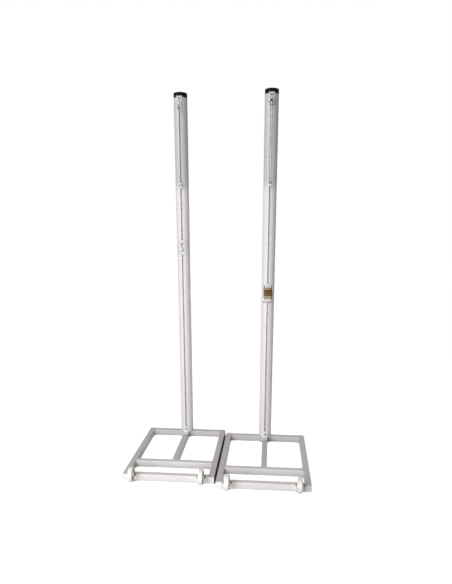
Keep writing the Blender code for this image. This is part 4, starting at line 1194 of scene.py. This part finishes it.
# %% The crimped ferrule on the cable's end
FERRULE_EDGE = 0.0008
CRIMP = 0.0005
CRIMP_HALF = 0.0009
CRIMP_STEP = 0.003
low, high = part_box("right_cable_ferrule")
radius = (high.x - low.x) / 2
profile = [(0, high.z), (radius - FERRULE_EDGE, high.z), (radius, high.z - FERRULE_EDGE)]
for crimp in range(3):
    centre = high.z - CRIMP_STEP - crimp * CRIMP_STEP
    profile += [(radius, centre + CRIMP_HALF), (radius - CRIMP, centre)]
    profile += [(radius, centre - CRIMP_HALF)]
profile += [(radius, low.z + FERRULE_EDGE), (radius - FERRULE_EDGE, low.z), (0, low.z)]
place = ((low + high) / 2).to_2d().to_3d()
dress(turned("right_cable_ferrule_finished", profile, 40, place), "right_cable_ferrule")
print("ferrule crimped")

# %% [markdown]
# ## The plate on the lever
# A small brown plate covers the lever's front. It is left bare of any lettering: a cream rim and
# a lighter band at its top, a dark line under them and a taupe band at its foot.


# %% A plate of bands
def block(name, low, high):
    """A block with slightly rounded edges between two corners."""
    shape = bmesh.new()
    size, centre = high - low, (low + high) / 2
    place = Matrix.Translation(centre) @ Matrix.Diagonal((*size, 1))
    bmesh.ops.create_cube(shape, size=1, matrix=place)
    bevel(shape, shape.edges[:], 0.0003)
    return smooth(new_object(name, shape), 40)


PLATE_EDGE = 0.0004
BORDER = 0.0025
BAND_RISE = 0.0005
BAND_SINK = 0.0004
BANDS = {  # name: lower edge and upper edge below the plate's top, and finish
    "rim": (0.0045, 0.0003, "cream"),
    "top_band": (0.0170, 0.0095, "pale_bronze"),
    "line": (0.0300, 0.0200, "brown_line"),
    "lower_band": (0.0760, 0.0630, "taupe"),
}
dress(softened("right_name_plate", PLATE_EDGE), "right_name_plate")
low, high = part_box("right_name_plate")
for name, (bottom, top, finish) in BANDS.items():
    corner = Vector((low.x + BORDER, low.y - BAND_RISE, high.z - bottom))
    opposite = Vector((high.x - BORDER, low.y + BAND_SINK, high.z - top))
    add_detail(block("right_plate_" + name, corner, opposite), "bronze", "right_lever", finish)
print("plate bands:", ", ".join(BANDS))

# %% [markdown]
# ## Small pieces at the lever and the pulley
# Three details are only millimetres wide but show as dark or light marks: the knuckles beside
# the lever's pin, two struts on the jaw, and a tongue that fills the slot above the pulley. The
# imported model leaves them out, so they are added here and ride on the body that they belong to.

# %% Dark knuckles round the ends of the lever's barrel
KNUCKLE_BORE = 0.0061
KNUCKLE_RADIUS = 0.0068
KNUCKLE_HALF = 0.004
KNUCKLE_EDGE = 0.0006
KNUCKLE_OUT = 0.0265  # from the lever's middle to a knuckle's
pivot = middle_of("right_lever_pin")
profile = [(KNUCKLE_BORE, KNUCKLE_HALF), (KNUCKLE_RADIUS - KNUCKLE_EDGE, KNUCKLE_HALF)]
profile = mirrored(profile + [(KNUCKLE_RADIUS, KNUCKLE_HALF - KNUCKLE_EDGE)])
for name, side in zip(SIDES, (-1, 1)):
    place = pivot + Vector((side * KNUCKLE_OUT, 0, 0))
    knuckle = turned(f"right_{name}_knuckle", profile, 40, place, True, ring=True)
    add_detail(knuckle, "dark_steel", "right_lever")
print("knuckles at", round(pivot.z, 4))

# %% Two short struts across the ends of the jaw
STRUT_ROD = 0.0032
STRUT_Y = JAW_FRONT_Y - 0.0108  # in front of the jaw's body
STRUT_ENDS = ((0.017, 1.1335), (0.0235, 1.1465))  # how far out, and how high
for name, side in zip(SIDES, (-1, 1)):
    route = [(AXIS["right"].x + side * out, STRUT_Y, z) for out, z in STRUT_ENDS]
    strut = bent_rod(f"right_jaw_{name}_strut", route, STRUT_ROD)
    add_detail(strut, "dark_steel", "right_carriage", "taupe")
print("jaw struts set")

# %% A tongue closes the slot between the pulley and the plate above it
TONGUE_HALF = 0.0056
TONGUE_SUNK = (0.0008, 0.003)  # how far its front and its back lie behind the post's front
TONGUE_LAP = 0.001  # how far it goes on behind the pulley's bracket and the plate
front = AXIS["right"] - Vector((0, POST_RADIUS, 0))
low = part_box("right_pulley_bracket")[1].z - TONGUE_LAP
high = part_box("right_top_plate")[0].z + TONGUE_LAP
tongue = block(
    "right_pulley_tongue",
    front + Vector((-TONGUE_HALF, TONGUE_SUNK[0], low)),
    front + Vector((TONGUE_HALF, TONGUE_SUNK[1], high)),
)
add_detail(tongue, "post_paint", "stands", "dull_zinc")
print("tongue from", round(low, 3), "to", round(high, 3))

# %% [markdown]
# ## Floor, light and background
# The floor and the far background are white to the camera and to reflections, so the object
# stands on a clean page. Close to the frames and in the gap between them the floor's own glow is
# held back, which leaves the shade there. The light itself is plain: a pale world and five soft
# lamps. The key lamp stands low at the left of the camera, one is nearer to the frames' front
# ends, one is high at the left for the posts' tops, one is overhead and a weak one lights the back.

# %% The floor
FLOOR_SIZE = 30
FLOOR_GREY = (0.32, 0.32, 0.32, 1)
FLOOR_LIFT = 0.95
GAP_REACH = 0.05  # how near a wall has to be for the floor beside it to count as hidden
OPEN_SKY = (0.18, 0.48)  # how open the floor is where its glow starts, and where it is full
GAP_HALF = 0.0075  # half the gap between the two stands
GAP_ENDS = (-0.334, 0.470)  # front and rear end of the gap
floor_shape = bmesh.new()
bmesh.ops.create_grid(floor_shape, x_segments=1, y_segments=1, size=FLOOR_SIZE)
floor = new_object("floor", floor_shape)
paint = {"Base Color": FLOOR_GREY, "Roughness": 0.9, "Specular IOR Level": 0.1}
floor_material, tree, floor_shader = new_material("floor", paint)
rays = tree.nodes.new("ShaderNodeLightPath").outputs
seen = maths(tree, "MAXIMUM", rays["Is Camera Ray"], rays["Is Glossy Ray"])
open_sky = node(tree, "ShaderNodeAmbientOcclusion", {"Distance": GAP_REACH}).outputs["AO"]
spot = node(tree, "ShaderNodeSeparateXYZ", {0: object_place(tree)}).outputs
beside = maths(tree, "GREATER_THAN", maths(tree, "ABSOLUTE", spot["X"]), GAP_HALF)
before = maths(tree, "LESS_THAN", spot["Y"], GAP_ENDS[0])
behind = maths(tree, "GREATER_THAN", spot["Y"], GAP_ENDS[1])
outside = maths(tree, "MAXIMUM", beside, maths(tree, "MAXIMUM", before, behind))
lift = times(tree, times(tree, spread(tree, open_sky, *OPEN_SKY), FLOOR_LIFT), outside)
glow = {"Color": (1, 1, 1, 1), "Strength": times(tree, seen, lift)}
glow = node(tree, "ShaderNodeEmission", glow).outputs[0]
both = node(tree, "ShaderNodeAddShader", {0: floor_shader.outputs[0], 1: glow}).outputs[0]
fill(tree, tree.nodes["Material Output"], {"Surface": both})
floor.data.materials.append(floor_material)

# %% The world: pale light, white where it is seen
WORLD_LIGHT = 0.20
MIRRORED = 0.65
world = bpy.data.worlds.new("studio")
world.use_nodes = True
bpy.context.scene.world = world
tree = world.node_tree
rays = tree.nodes.new("ShaderNodeLightPath").outputs
strength = blend_value(tree, rays["Is Glossy Ray"], WORLD_LIGHT, MIRRORED)
strength = blend_value(tree, rays["Is Camera Ray"], strength, 1.0)
fill(tree, tree.nodes["Background"], {"Color": (1, 1, 1, 1), "Strength": strength})

# %% Five soft lamps
LAMPS = {  # name: place, target, width and height, watts
    "key": ((-0.75, -3.5, 1.0), (0, 0.3, 1.0), (2.0, 1.8), 70),
    "near_front": ((-0.5, -2.1, 0.75), (0, -0.3, 0.0), (1.4, 0.5), 14),
    "high_left": ((-2.6, -2.0, 3.2), (0, 0.4, 2.3), (0.8, 0.8), 28),
    "overhead": ((-1.0, -1.3, 3.2), (0, -0.5, 0), (2.2, 2.2), 15),
    "back_fill": ((0.8, 3.4, 1.2), (0, 0.4, 1.2), (2.0, 2.0), 9),
}
for name, (place, target, size, watts) in LAMPS.items():
    data = bpy.data.lights.new(name, "AREA")
    data.shape = "RECTANGLE"
    data.size, data.size_y = size
    data.energy = watts
    lamp = add_object(name, data)
    lamp.visible_camera = False
    lamp.location = place
    lamp.rotation_mode = "QUATERNION"
    lamp.rotation_quaternion = (Vector(target) - Vector(place)).to_track_quat("-Z", "Y")
bpy.context.scene.view_settings.view_transform = "Standard"
print("lamps and floor ready")
